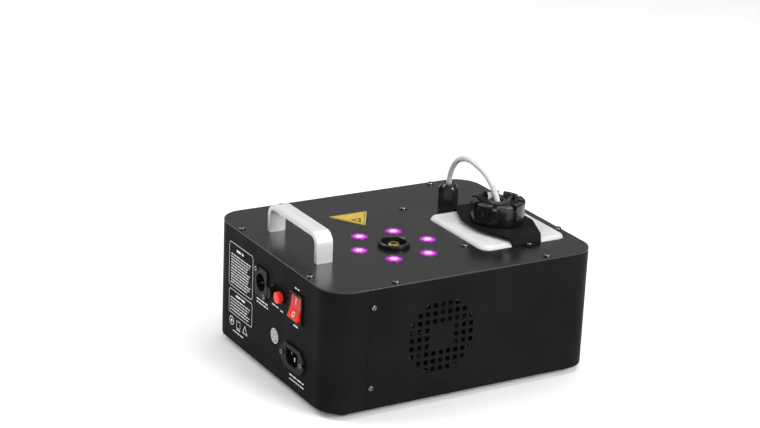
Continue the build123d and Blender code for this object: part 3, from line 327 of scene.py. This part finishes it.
class Surface:
    """A material that is built up node by node around one Principled shader."""

    def __init__(self, name, metallic=0.0, roughness=0.5):
        self.material = bpy.data.materials.new(name)
        self.material.use_nodes = True
        self.tree = self.material.node_tree
        self.shader = self.tree.nodes["Principled BSDF"]
        self.shader.inputs["Metallic"].default_value = metallic
        self.shader.inputs["Roughness"].default_value = roughness
        self.coordinates = self.tree.nodes.new("ShaderNodeTexCoord").outputs["Object"]
        self.height = None

    def node(self, kind, **settings):
        """A new node with its properties or its inputs set."""
        made = self.tree.nodes.new(kind)
        for key, value in settings.items():
            if key in made.inputs:
                made.inputs[key].default_value = value
            else:
                setattr(made, key, value)
        return made

    def link(self, source, target):
        """Joins an output to an input."""
        self.tree.links.new(source, target)

    def fixed(self, **values):
        """Numbers and colours that are the same all over, on the shader's own sockets."""
        for key, value in values.items():
            self.shader.inputs[key.replace("_", " ")].default_value = value

    def stretched(self, scale):
        """Object coordinates stretched along one axis or more."""
        mapping = self.node("ShaderNodeMapping")
        mapping.inputs["Scale"].default_value = scale
        self.link(self.coordinates, mapping.inputs["Vector"])
        return mapping.outputs["Vector"]

    def noise(self, size, detail=3.0, stretch=None):
        """Noise whose spots are about size metres across."""
        made = self.node("ShaderNodeTexNoise", Scale=1.0 / size, Detail=detail, Roughness=0.55)
        source = self.stretched(stretch) if stretch else self.coordinates
        self.link(source, made.inputs["Vector"])
        return made.outputs["Fac"]

    def ramp(self, source, stops):
        """A colour ramp with stops of (position, colour)."""
        made = self.node("ShaderNodeValToRGB")
        elements = made.color_ramp.elements
        while len(elements) < len(stops):
            elements.new(0.5)
        for element, (position, color) in zip(elements, stops):
            element.position = position
            element.color = (*color, 1.0)
        self.link(source, made.inputs["Fac"])
        return made.outputs["Color"]

    def spread(self, source, low, high, start=0.3, end=0.7):
        """Maps a noise onto a range of numbers."""
        made = self.node("ShaderNodeMapRange")
        made.inputs["From Min"].default_value = start
        made.inputs["From Max"].default_value = end
        made.inputs["To Min"].default_value = low
        made.inputs["To Max"].default_value = high
        self.link(source, made.inputs["Value"])
        return made.outputs["Result"]

    def mix(self, factor, first, second):
        """Two colours mixed by a factor."""
        made = self.node("ShaderNodeMix", data_type="RGBA")
        self.link(factor, made.inputs[0])
        for socket, value in ((made.inputs[6], first), (made.inputs[7], second)):
            if isinstance(value, tuple):
                socket.default_value = (*value, 1.0)
            else:
                self.link(value, socket)
        return made.outputs[2]

    def math(self, operation, first, second=0.0):
        """One arithmetic step on sockets or numbers."""
        made = self.node("ShaderNodeMath", operation=operation)
        for socket, value in zip(made.inputs, (first, second)):
            if isinstance(value, (int, float)):
                socket.default_value = value
            else:
                self.link(value, socket)
        return made.outputs[0]

    def mottled(self, dark, light, size, stretch=None):
        """Base colour that drifts between two close shades."""
        color = self.ramp(self.noise(size, 4.0, stretch), [(0.3, dark), (0.7, light)])
        self.link(color, self.shader.inputs["Base Color"])
        return color

    def dusted(self, color, dust, size, amount):
        """Fine pale specks over a base colour, amount of them from 0 to 1."""
        lowest = 0.74 - 0.2 * amount  # noise above this is a speck
        specks = self.spread(self.noise(size, 2.0), 0.0, 0.5, lowest, 0.9)
        self.link(self.mix(specks, color, dust), self.shader.inputs["Base Color"])

    def rough(self, low, high, size, stretch=None):
        """Roughness that varies over the surface."""
        gloss = self.spread(self.noise(size, 3.0, stretch), low, high)
        self.link(gloss, self.shader.inputs["Roughness"])

    def bump(self, size, depth, strength=1.0, stretch=None, source=None):
        """A fine relief of the given depth in metres, over any relief that is there already."""
        made = self.node("ShaderNodeBump", Strength=strength, Distance=depth)
        self.link(source or self.noise(size, 2.0, stretch), made.inputs["Height"])
        if self.height is not None:
            self.link(self.height, made.inputs["Normal"])
        self.height = made.outputs["Normal"]
        self.link(self.height, self.shader.inputs["Normal"])


def painted_steel(name, shade, low, high, level, peel):
    """Black powder coat with orange peel of depth peel, a little dust and roughness low to high."""
    s = Surface(name)
    s.fixed(Specular_IOR_Level=level)
    color = s.mottled((0.8 * shade,) * 3, (1.2 * shade,) * 3, 0.05)
    s.dusted(color, (6 * shade,) * 3, 0.0009, 0.2)
    s.rough(low, high, 0.03)
    s.bump(0.0012, peel, 0.5)
    s.bump(0.0004, 0.3 * peel, 0.4)
    return s.material


def zinc_steel():
    """Galvanised sheet with its spangle."""
    s = Surface("zinc_steel", metallic=1.0)
    spangle = s.node("ShaderNodeTexVoronoi", Scale=130.0)
    s.link(s.coordinates, spangle.inputs["Vector"])
    greys = [(0.0, (0.42, 0.43, 0.44)), (1.0, (0.66, 0.67, 0.68))]
    s.link(s.ramp(spangle.outputs["Color"], greys), s.shader.inputs["Base Color"])
    s.rough(0.3, 0.5, 0.006)
    s.bump(0.0006, 0.00002, 0.4)
    return s.material


def machined(name, dark, light, low, high, grain=0.0004):
    """Bare or blackened metal with fine turning marks and handling wear."""
    s = Surface(name, metallic=1.0)
    s.mottled(dark, light, 0.002)
    s.rough(low, high, 0.0012)
    s.bump(grain, 0.00001, 0.5, stretch=(1.0, 1.0, 6.0))
    return s.material


def moulded(name, dark, light, low, high, size=0.006, grain=0.0005, depth=0.00002, level=0.5):
    """Moulded plastic or rubber with a drifting shade, uneven gloss and a fine skin."""
    s = Surface(name)
    s.fixed(Specular_IOR_Level=level)
    s.mottled(dark, light, size)
    s.rough(low, high, size * 0.7)
    s.bump(grain, depth, 0.5)
    return s.material


def handle_paint():
    """Silver lacquer on the strap handle: pale, satin, faintly brushed along its length."""
    s = Surface("handle_silver", metallic=0.25)
    s.mottled((0.58, 0.58, 0.59), (0.68, 0.68, 0.69), 0.012, stretch=(1.0, 0.15, 1.0))
    s.rough(0.3, 0.42, 0.004, stretch=(1.0, 0.1, 1.0))
    s.bump(0.0003, 0.00001, 0.6, stretch=(6.0, 0.3, 1.0))
    return s.material


def label_print():
    """Printed yellow film of the warning label."""
    s = Surface("label_yellow")
    color = s.mottled((0.42, 0.285, 0.03), (0.51, 0.355, 0.045), 0.006)
    s.dusted(color, (0.75, 0.62, 0.25), 0.0008, 0.4)
    s.rough(0.35, 0.5, 0.003)
    s.bump(0.0006, 0.000015, 0.5)
    return s.material


def tank_plastic():
    """Milky blow-moulded polyethylene that lets some light in."""
    s = Surface("tank_milk")
    s.fixed(
        Subsurface_Weight=0.45,
        Subsurface_Scale=0.006,
        Subsurface_Radius=(1.0, 0.95, 0.85),
        IOR=1.5,
    )
    s.mottled((0.5, 0.505, 0.5), (0.57, 0.57, 0.565), 0.02)
    s.rough(0.3, 0.42, 0.008)
    s.bump(0.003, 0.00006, 0.5)
    s.bump(0.0005, 0.00001, 0.4)
    return s.material


def hose_silicone():
    """Clear-white silicone hose with fluid inside."""
    s = Surface("hose_silicone")
    s.fixed(
        Transmission_Weight=0.12,
        Subsurface_Weight=0.5,
        Subsurface_Scale=0.002,
        Subsurface_Radius=(1.0, 1.0, 1.0),
        IOR=1.41,
    )
    s.mottled((0.56, 0.565, 0.57), (0.64, 0.64, 0.64), 0.006)
    s.rough(0.2, 0.3, 0.004)
    s.bump(0.0015, 0.00001, 0.3)
    return s.material


def plastic_with_painted_light(name, node, dark, light, painted_light_color, painted_light_strengths):
    """Red plastic whose emission is painted light in place of light falling on it, stronger at the
    node's bottom than at its top; its strength is given at the node's bottom and top.
    """
    s = Surface(name)
    s.fixed(Specular_IOR_Level=0.25, Emission_Color=(*painted_light_color, 1.0))
    height = s.node("ShaderNodeSeparateXYZ")
    s.link(s.coordinates, height.inputs["Vector"])
    low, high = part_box(node)
    # painted light: the emission fades from the node's bottom to its top, a painted highlight low down
    painted_light_strength = s.spread(height.outputs["Z"], *painted_light_strengths, low.z, high.z)
    s.link(painted_light_strength, s.shader.inputs["Emission Strength"])
    s.mottled(dark, light, 0.008)
    s.rough(0.22, 0.35, 0.006)
    s.bump(0.0012, 0.00001, 0.3)
    return s.material


def lamp_lens():
    """Clear lens over a magenta lamp: white in the middle, petals, and a violet ring at the rim."""
    s = Surface("lamp_lens")
    s.fixed(Specular_IOR_Level=0.3)
    distance = s.node("ShaderNodeVectorMath", operation="LENGTH")
    flat = s.stretched((1.0, 1.0, 0.0))
    s.link(flat, distance.inputs[0])
    reach = s.spread(distance.outputs["Value"], 0.0, 1.0, 0.0, lamp_radius)
    around = s.node("ShaderNodeTexGradient", gradient_type="RADIAL")
    s.link(s.coordinates, around.inputs["Vector"])
    petals = s.math("SINE", s.math("MULTIPLY", around.outputs["Fac"], 2 * pi * lamp_petals))
    ripple = s.spread(s.noise(0.0014, 2.0), -lamp_ripple, lamp_ripple)
    place = s.math("ADD", s.math("ADD", reach, ripple), s.math("MULTIPLY", petals, petal_depth))
    color = s.ramp(
        place,
        [
            (0.0, (1.0, 0.85, 1.0)),
            (0.2, (0.95, 0.55, 0.95)),
            (0.42, (0.6, 0.07, 0.62)),
            (0.72, (0.24, 0.006, 0.28)),
            (1.0, (0.04, 0.003, 0.055)),
        ],
    )
    s.link(color, s.shader.inputs["Base Color"])
    s.link(color, s.shader.inputs["Emission Color"])
    s.link(s.spread(place, 1.15, 0.42, 0.0, 0.6), s.shader.inputs["Emission Strength"])
    s.rough(0.08, 0.2, 0.002)
    s.bump(0.0011, 0.00004, 0.5)
    return s.material


def fuse_glass():
    """Glass tube between two metal end caps."""
    s = Surface("fuse_glass")
    low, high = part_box("fuse_link")
    place = s.node("ShaderNodeSeparateXYZ")
    s.link(s.coordinates, place.inputs["Vector"])
    along = s.spread(place.outputs["X"], 0.0, 1.0, low.x, high.x)
    from_middle = s.math("ABSOLUTE", s.math("SUBTRACT", along, 0.5))
    end = s.math("GREATER_THAN", from_middle, 0.5 - fuse_end)
    glass = s.ramp(s.noise(0.003), [(0.3, (0.5, 0.52, 0.53)), (0.7, (0.62, 0.64, 0.65))])
    metal = s.ramp(s.noise(0.002), [(0.3, (0.6, 0.6, 0.58)), (0.7, (0.74, 0.73, 0.7))])
    s.link(s.mix(end, glass, metal), s.shader.inputs["Base Color"])
    s.link(end, s.shader.inputs["Metallic"])
    clear = s.math("MULTIPLY", s.math("SUBTRACT", 1.0, end), 0.7)
    s.link(clear, s.shader.inputs["Transmission Weight"])
    s.rough(0.05, 0.18, 0.003)
    s.bump(0.001, 0.00001, 0.3)
    return s.material


def circuit_board():
    """Green solder mask with faint tracks."""
    s = Surface("circuit_board")
    tracks = s.node("ShaderNodeTexBrick", Scale=160.0)
    s.link(s.coordinates, tracks.inputs["Vector"])
    greens = [(0.0, (0.01, 0.1, 0.03)), (1.0, (0.03, 0.2, 0.07))]
    s.link(s.ramp(tracks.outputs["Fac"], greens), s.shader.inputs["Base Color"])
    s.rough(0.25, 0.4, 0.004)
    s.bump(0.0008, 0.00002, 0.3)
    return s.material


def print_ink(name, dark, light, roughness):
    """Screen-printed ink or film, a little uneven."""
    s = Surface(name)
    s.mottled(dark, light, 0.0015)
    s.rough(roughness, roughness + 0.15, 0.002)
    s.bump(0.0004, 0.00001, 0.4)
    return s.material


lid_paint = painted_steel(
    "lid_paint", shade=0.006, low=0.19, high=0.27, level=0.5, peel=0.00001
)
# the walls' copy of the black paint: duller, and its shade raised above the lid's as painted light so
# the walls read brighter
wall_paint_with_painted_light = painted_steel(
    "wall_paint_with_painted_light", shade=0.0092, low=0.36, high=0.48, level=0.015, peel=0.00003
)
smooth_skin = {"size": 0.01, "grain": 0.0015, "depth": 0.00001}
foam_skin = {"size": 0.003, "grain": 0.0012, "depth": 0.0003}
materials = {
    "black_sheet": lid_paint,
    "zinc_sheet": zinc_steel(),
    "black_screw": machined("black_steel", (0.09, 0.09, 0.092), (0.2, 0.2, 0.203), 0.12, 0.24),
    "plated_screw": machined("plated_steel", (0.55, 0.55, 0.56), (0.72, 0.72, 0.72), 0.18, 0.34),
    "foot_rubber": moulded("foot_rubber", (0.012,) * 3, (0.022,) * 3, 0.6, 0.8),
    "handle_silver": handle_paint(),
    "warning_yellow": label_print(),
    "nozzle_black": moulded("nozzle_black", (0.006,) * 3, (0.011,) * 3, 0.25, 0.38),
    "nozzle_brass": machined("nozzle_brass", (0.3, 0.2, 0.07), (0.42, 0.29, 0.11), 0.3, 0.5),
    "heater_metal": machined(
        "heater_metal", (0.42, 0.42, 0.43), (0.56, 0.56, 0.57), 0.4, 0.6, grain=0.0015
    ),
    "element_steel": machined("element_steel", (0.3, 0.28, 0.26), (0.5, 0.47, 0.43), 0.3, 0.5),
    "thermostat_body": moulded("thermostat_body", (0.16, 0.1, 0.05), (0.24, 0.16, 0.09), 0.45, 0.6),
    "lamp_lens": lamp_lens(),
    "circuit_board": circuit_board(),
    "board_part": moulded("board_part", (0.02, 0.022, 0.03), (0.05, 0.05, 0.06), 0.35, 0.5),
    "nylon_post": moulded("nylon_post", (0.7, 0.69, 0.64), (0.8, 0.79, 0.74), 0.4, 0.55),
    "pump_plastic": moulded("pump_plastic", (0.55, 0.54, 0.5), (0.66, 0.65, 0.6), 0.4, 0.55),
    "coil_case": moulded("coil_case", (0.02, 0.03, 0.05), (0.04, 0.05, 0.08), 0.35, 0.5),
    "spring_steel": machined("spring_steel", (0.4, 0.4, 0.42), (0.6, 0.6, 0.62), 0.2, 0.35),
    "plunger_steel": machined("plunger_steel", (0.5, 0.5, 0.5), (0.66, 0.66, 0.67), 0.2, 0.35),
    "fan_plastic": moulded("fan_plastic", (0.008,) * 3, (0.014,) * 3, 0.3, 0.45, level=0.2),
    "tank_plastic": tank_plastic(),
    "foam_pad": moulded("foam_pad", (0.04,) * 3, (0.08,) * 3, 0.8, 0.95, **foam_skin),
    "cap_plastic": moulded("cap_plastic", (0.004,) * 3, (0.007,) * 3, 0.1, 0.2, **smooth_skin),
    "seal_rubber": moulded("seal_rubber", (0.01,) * 3, (0.018,) * 3, 0.4, 0.6),
    "hose_silicone": hose_silicone(),
    "heater_tube_ptfe": moulded("heater_tube_ptfe", (0.78,) * 3, (0.88,) * 3, 0.3, 0.45),
    "filter_metal": machined(
        "filter_metal", (0.42, 0.4, 0.36), (0.6, 0.57, 0.5), 0.4, 0.6, grain=0.0008
    ),
    "gland_nylon": moulded("gland_nylon", (0.005,) * 3, (0.009,) * 3, 0.12, 0.22, **smooth_skin),
    "socket_black": moulded("socket_black", (0.006,) * 3, (0.01,) * 3, 0.2, 0.32, level=0.06),
    "contact_metal": machined("contact_metal", (0.6, 0.58, 0.52), (0.78, 0.76, 0.7), 0.18, 0.3),
    "fuse_glass": fuse_glass(),
    # the button and the rocker: painted light, an emission brighter at their bottoms than at their tops
    "button_red": plastic_with_painted_light(
        "button_red",
        "button_cap",
        dark=(0.5, 0.018, 0.012),
        light=(0.58, 0.025, 0.016),
        painted_light_color=(1.0, 0.05, 0.03),
        painted_light_strengths=(0.35, 0.2),
    ),
    "rocker_red": plastic_with_painted_light(
        "rocker_red",
        "rocker_paddle",
        dark=(0.3, 0.002, 0.002),
        light=(0.36, 0.003, 0.003),
        painted_light_color=(1.0, 0.035, 0.008),
        painted_light_strengths=(0.5, 0.06),
    ),
}
print_white = print_ink("print_white", (0.62, 0.62, 0.62), (0.8, 0.8, 0.8), 0.45)
print_dark = print_ink("print_dark", (0.015, 0.012, 0.006), (0.03, 0.025, 0.012), 0.4)
sticker_grey = print_ink("sticker_grey", (0.16, 0.16, 0.165), (0.24, 0.24, 0.245), 0.35)


def paint_nodes():
    """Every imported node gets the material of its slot."""
    for subpart in frame["record"]["subparts"]:
        slots = nodes[subpart["node"]].data.materials
        material = materials[subpart["material_slot"]]
        if not slots:
            slots.append(material)
        for index in range(len(slots)):
            slots[index] = material


paint_nodes()
# the shells and the tank clamp get the walls' copy, duller and painted lighter than the lid
for name in ("main_shell", "end_shell", "tank_clamp"):
    nodes[name].data.materials[0] = wall_paint_with_painted_light
hose.data.materials.append(materials["hose_silicone"])

# ---------------------------------------------------------------- lamps

lamp_circle = 0.040
lamp_count = 6
lamp_steps = 64
# half a section of one lens, radius and height over the lid: flange below, step, domed top
lamp_profile = [
    (0.0, -0.0050),
    (0.0088, -0.0050),
    (0.0088, -0.0027),
    (0.0110, -0.0027),
    (0.0110, -0.00135),
    (lamp_radius, -0.00135),
    (lamp_radius, 0.00005),
    (0.0095, 0.0003),
    (0.0089, 0.00035),
    (0.0086, 0.00005),
    (0.0080, 0.00005),
    (0.0070, 0.00024),
    (0.0050, 0.0004),
    (0.0025, 0.0004),
    (0.0, 0.0004),
]


def make_lamps():
    """Six lenses round the nozzle, each turned about its own middle."""
    for index in range(lamp_count):
        angle = 2 * pi * index / lamp_count
        solids = Solids()
        solids.lathe(lamp_profile, lambda x, y, z: Vector((x, y, z)), lamp_steps)
        lens = solids.piece(f"lamp_lens_{index + 1}", "root", smooth=True)
        lens.location = (
            nozzle.x + lamp_circle * cos(angle),
            nozzle.y + lamp_circle * sin(angle),
            lid_top,
        )
        lens.data.materials.append(materials["lamp_lens"])
        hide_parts("led_lenses")


make_lamps()

# ---------------------------------------------------------------- springs

spring_wire = 0.0005
spring_steps = 24
spring_sides = 10


def make_spring(node, pitch):
    """A coil spring along X that fills the node's box, its turns pitch apart."""
    low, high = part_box(node)
    center = (low + high) / 2
    radius = (high.y - low.y) / 2 - spring_wire
    rise = high.x - low.x - 2 * spring_wire
    count = round(spring_steps * rise / pitch)
    path = []
    for i in range(count + 1):
        angle = 2 * pi * i / spring_steps
        along = low.x + spring_wire + rise * i / count
        across, up = radius * cos(angle), radius * sin(angle)
        path.append(Vector((along, center.y + across, center.z + up)))
    spring = tube_along(f"{node}_coil", path, spring_wire, spring_sides)
    spring.data.materials.append(materials["spring_steel"])
    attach(spring, "root")
    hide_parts(node)
    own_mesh(spring)


make_spring("pump_spring", pitch=0.0025)
make_spring("button_spring", pitch=0.0017)

# ---------------------------------------------------------------- prints on panel, lid and rocker

ink = 0.00006
line_width = 0.0006

# a line of print is a row of bars: their widths, the gap between them and the least room that still
# gets a bar, all in heights of the line
shortest_bar = 1.8
bar_growth = 0.45
bar_gap = 0.75
least_room = 1.5

# printed frames: centre, size, corner radius
upper_frame = ((0.064, 0.085), (0.054, 0.048), 0.004)
lower_frame = ((0.0635, 0.04425), (0.053, 0.0265), 0.003)

# lines of print: from and to across the panel, height over the body's bottom, height of the line
upper_title = (0.0745, 0.0535, 0.1025, 0.0026)
lower_title = (0.0745, 0.0535, 0.0530, 0.0022)
upper_lines = [(0.0865, 0.0425 + 0.002 * (k % 4), 0.0962 - 0.0031 * k, 0.0012) for k in range(11)]
lower_lines = [(0.0865, 0.0425 + 0.0025 * (k % 3), 0.0482 - 0.0033 * k, 0.0012) for k in range(5)]
socket_lines = [(0.0275, 0.0035, 0.0685, 0.0014), (0.0275, 0.0025, 0.0650, 0.0014)]
control_lines = [
    (-0.006, -0.020, 0.0745, 0.0013),
    (-0.024, -0.031, 0.0735, 0.0013),
    (-0.053, -0.062, 0.1085, 0.0016),
    (-0.052, -0.063, 0.0690, 0.0016),
]
inlet_lines = [(-0.0465, -0.0765, 0.0145, 0.0015), (-0.0465, -0.0765, 0.0100, 0.0015)]
sign_line = (0.0800, 0.0560, 0.0128, 0.0013)

# three signs in a row: a ringed dot, a square over a bar, a triangle
sign_row = 0.0225
ring_across = 0.083
ring_outer = 0.0050
ring_inner = 0.0041
dot_radius = 0.0018
square_across = 0.0675
square_side = 0.0085
square_corner = 0.0012
bar_row = 0.0168
bar_height = 0.0011
bar_corner = 0.0004
triangle_across = 0.0525
triangle_half = 0.0058
triangle_foot = 0.0180
triangle_tip = 0.0275
# how far the triangle's hole is in from its corners, its foot and its tip
triangle_insets = (0.0016, 0.0009, 0.0019)

sticker_center = (-0.013, 0.042)
sticker_radius = 0.008
sticker_rim = (0.0078, 0.0071)
sticker_thickness = 0.00009
sticker_steps = 48
sticker_bar = 0.0012
sticker_pitch = 0.0028
sticker_top = 0.0042
sticker_halves = (0.0042, 0.0055, 0.0055, 0.0042)

# the label's dark edge: its outer and inner inset from the film's back edge, and how much further
# in its corners and its tip are
label_edge = (0.0006, 0.0012)
label_corner = 1.85
label_tip = 1.25
# the label's sign and the hole in it: half the width, back edge and tip from the film's front
label_sign = (0.0065, 0.0195, 0.0080)
label_hole = (0.0034, 0.0177, 0.0117)

# the rocker: its pivot behind the panel and up from the body's bottom, its resting tilt, and how
# far its two faces stand out at their valley and at their ends
rocker_pivot_depth = 0.001
rocker_height = 0.089
rocker_rest = radians(11.0)
rocker_valley = 0.003
rocker_edge = 0.0045
rocker_half = 0.0124
rocker_bar = (0.0011, 0.0062)
rocker_ring = (0.0028, 0.0019)


def dashes(solids, place, line, seed):
    """A line of print as plain rounded bars of uneven length."""
    start, end, up, height = line
    step = 1 if end > start else -1
    at = start
    turn = seed
    while abs(end - at) > height * least_room:
        turn = (turn * 7 + 5) % 11
        width = min(height * (shortest_bar + bar_growth * turn), abs(end - at))
        center = (at + step * width / 2, up)
        solids.prism(rounded_box(center, (width, height), height * 0.4, 3), place, ink)
        at += step * (width + height * bar_gap)


def outlined(solids, place, center, size, radius):
    """A thin rounded frame."""
    inner = (size[0] - 2 * line_width, size[1] - 2 * line_width)
    solids.band(
        rounded_box(center, size, radius),
        rounded_box(center, inner, radius - line_width),
        place,
        ink,
    )


def triangle(center, half, foot, tip):
    """Outline of a triangle from its middle, half its width, and its foot's and tip's places."""
    return [(center - half, foot), (center + half, foot), (center, tip)]


def make_panel_print():
    """The printed frames and lines of the control panel, without any lettering."""
    solids = Solids()
    outlined(solids, on_panel, *upper_frame)
    outlined(solids, on_panel, *lower_frame)
    dashes(solids, on_panel, upper_title, 3)
    dashes(solids, on_panel, lower_title, 5)
    rows = upper_lines + lower_lines + socket_lines + control_lines + inlet_lines
    for seed, line in enumerate(rows):
        dashes(solids, on_panel, line, seed)
    return solids.piece("panel_print", "root")


def make_panel_signs():
    """Three plain signs and a line under the printed frames."""
    solids = Solids()
    ring = (ring_across, sign_row)
    solids.band(circle(ring, ring_outer), circle(ring, ring_inner), on_panel, ink)
    solids.prism(circle(ring, dot_radius), on_panel, ink)
    square = (square_across, sign_row)
    outlined(solids, on_panel, square, (square_side, square_side), square_corner)
    bar = rounded_box((square_across, bar_row), (square_side, bar_height), bar_corner)
    solids.prism(bar, on_panel, ink)
    side, foot, tip = triangle_insets
    outer = triangle(triangle_across, triangle_half, triangle_foot, triangle_tip)
    inner = triangle(triangle_across, triangle_half - side, triangle_foot + foot, triangle_tip - tip)
    solids.band(outer, inner, on_panel, ink)
    dashes(solids, on_panel, sign_line, 4)
    return solids.piece("panel_signs", "root")


def make_sticker():
    """Round foil sticker."""
    solids = Solids()
    disc = circle(sticker_center, sticker_radius, sticker_steps)
    solids.prism(disc, on_panel, sticker_thickness)
    return solids.piece("sticker", "root")


def make_sticker_marks():
    """Rim and rows of bars on the sticker."""
    def over(across, up, out):
        return on_panel(across, up, sticker_thickness + out)

    solids = Solids()
    outer, inner = (circle(sticker_center, radius, sticker_steps) for radius in sticker_rim)
    solids.band(outer, inner, over, ink)
    across, up = sticker_center
    for k, half in enumerate(sticker_halves):
        row = up + sticker_top - sticker_pitch * k
        dashes(solids, over, (across + half, across - half, row, sticker_bar), k + 2)
    return solids.piece("sticker_marks", "root")


def make_label_marks():
    """Dark edge and a smaller triangle on the warning label."""
    low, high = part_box("warning_label")
    center = (low.x + high.x) / 2
    half = (high.x - low.x) / 2
    slope = (high.y - low.y) / half
    thickness = high.z - lid_top

    def over(across, along, out):
        return on_lid(across, along, thickness + out)

    def edge(inset):
        return triangle(
            center,
            half - inset * label_corner,
            high.y - inset,
            low.y + inset * slope * label_tip,
        )

    def mark(half_width, back, tip):
        return triangle(center, half_width, low.y + back, low.y + tip)

    solids = Solids()
    outer, inner = (edge(inset) for inset in label_edge)
    solids.band(outer, inner, over, ink)
    solids.band(mark(*label_sign), mark(*label_hole), over, ink)
    return solids.piece("label_marks", "root")


def make_rocker_marks():
    """The on bar and the off ring moulded into the rocker's two halves."""
    pivot = Vector((panel_x + rocker_pivot_depth, rocker.y, body_bottom + rocker_height))
    turn = Matrix.Rotation(rocker_rest, 4, "Y")

    def on_rocker(across, up, out):
        reach = rocker_valley + (rocker_edge - rocker_valley) * abs(up) / rocker_half
        return pivot + turn @ Vector((-(reach + out), across, up))

    mark_up = 0.55 * rocker_half
    solids = Solids()
    solids.prism(rounded_box((0.0, mark_up), rocker_bar, bar_corner, 3), on_rocker, 2 * ink)
    outer, inner = (circle((0.0, -mark_up), radius) for radius in rocker_ring)
    solids.band(outer, inner, on_rocker, 2 * ink)
    return solids.piece("rocker_marks", "rocker")


def make_prints():
    """All prints with their inks."""
    for piece, material in (
        (make_sticker(), sticker_grey),
        (make_panel_print(), print_white),
        (make_panel_signs(), print_white),
        (make_sticker_marks(), print_white),
        (make_label_marks(), print_dark),
        (make_rocker_marks(), print_white),
    ):
        piece.data.materials.append(material)


make_prints()

# ---------------------------------------------------------------- floor and light

floor_half = 6.0
world_strength = 0.34


def make_floor():
    """A wide pale floor with a faint, fine texture."""
    signs = ((-1, -1), (1, -1), (1, 1), (-1, 1))
    corners = [(floor_half * x, floor_half * y, 0) for x, y in signs]
    floor = new_piece("floor", corners, [[0, 1, 2, 3]])
    s = Surface("floor_paper")
    s.mottled((0.86, 0.86, 0.86), (0.9, 0.9, 0.9), 0.4)
    s.rough(0.7, 0.85, 0.1)
    s.bump(0.002, 0.00002, 0.2)
    floor.data.materials.append(s.material)


def area_light(name, place, target, size, power):
    """A white soft box of a size in metres and a power in watts, facing a target."""
    data = bpy.data.lights.new(name, "AREA")
    data.shape = "RECTANGLE"
    data.size, data.size_y = size
    data.energy = power
    light = bpy.data.objects.new(name, data)
    light.location = place
    facing = Vector(target) - Vector(place)
    light.rotation_euler = facing.to_track_quat("-Z", "Y").to_euler()
    bpy.context.scene.collection.objects.link(light)


def make_studio():
    """Even white surround, with soft boxes above, at the front right, by the camera and at the left."""
    world = bpy.data.worlds.new("studio")
    world.use_nodes = True
    background = world.node_tree.nodes["Background"]
    background.inputs["Color"].default_value = (1.0, 1.0, 1.0, 1.0)
    background.inputs["Strength"].default_value = world_strength
    bpy.context.scene.world = world
    area_light("top", (0.5, 0.1, 2.6), (0.1, 0, 0), (2.4, 2.4), 52)
    area_light("front_right", (0.9, -2.4, 1.5), (0, 0, 0.05), (1.4, 1.0), 64)
    area_light("near_camera", (-1.3, -1.9, 1.5), (0.05, 0, 0.1), (0.5, 0.35), 9)
    area_light("floor_left", (-2.0, 1.6, 2.4), (-1.2, 1.6, 0), (2.0, 2.0), 60)


make_floor()
make_studio()
bpy.context.scene.view_settings.view_transform = "Standard"
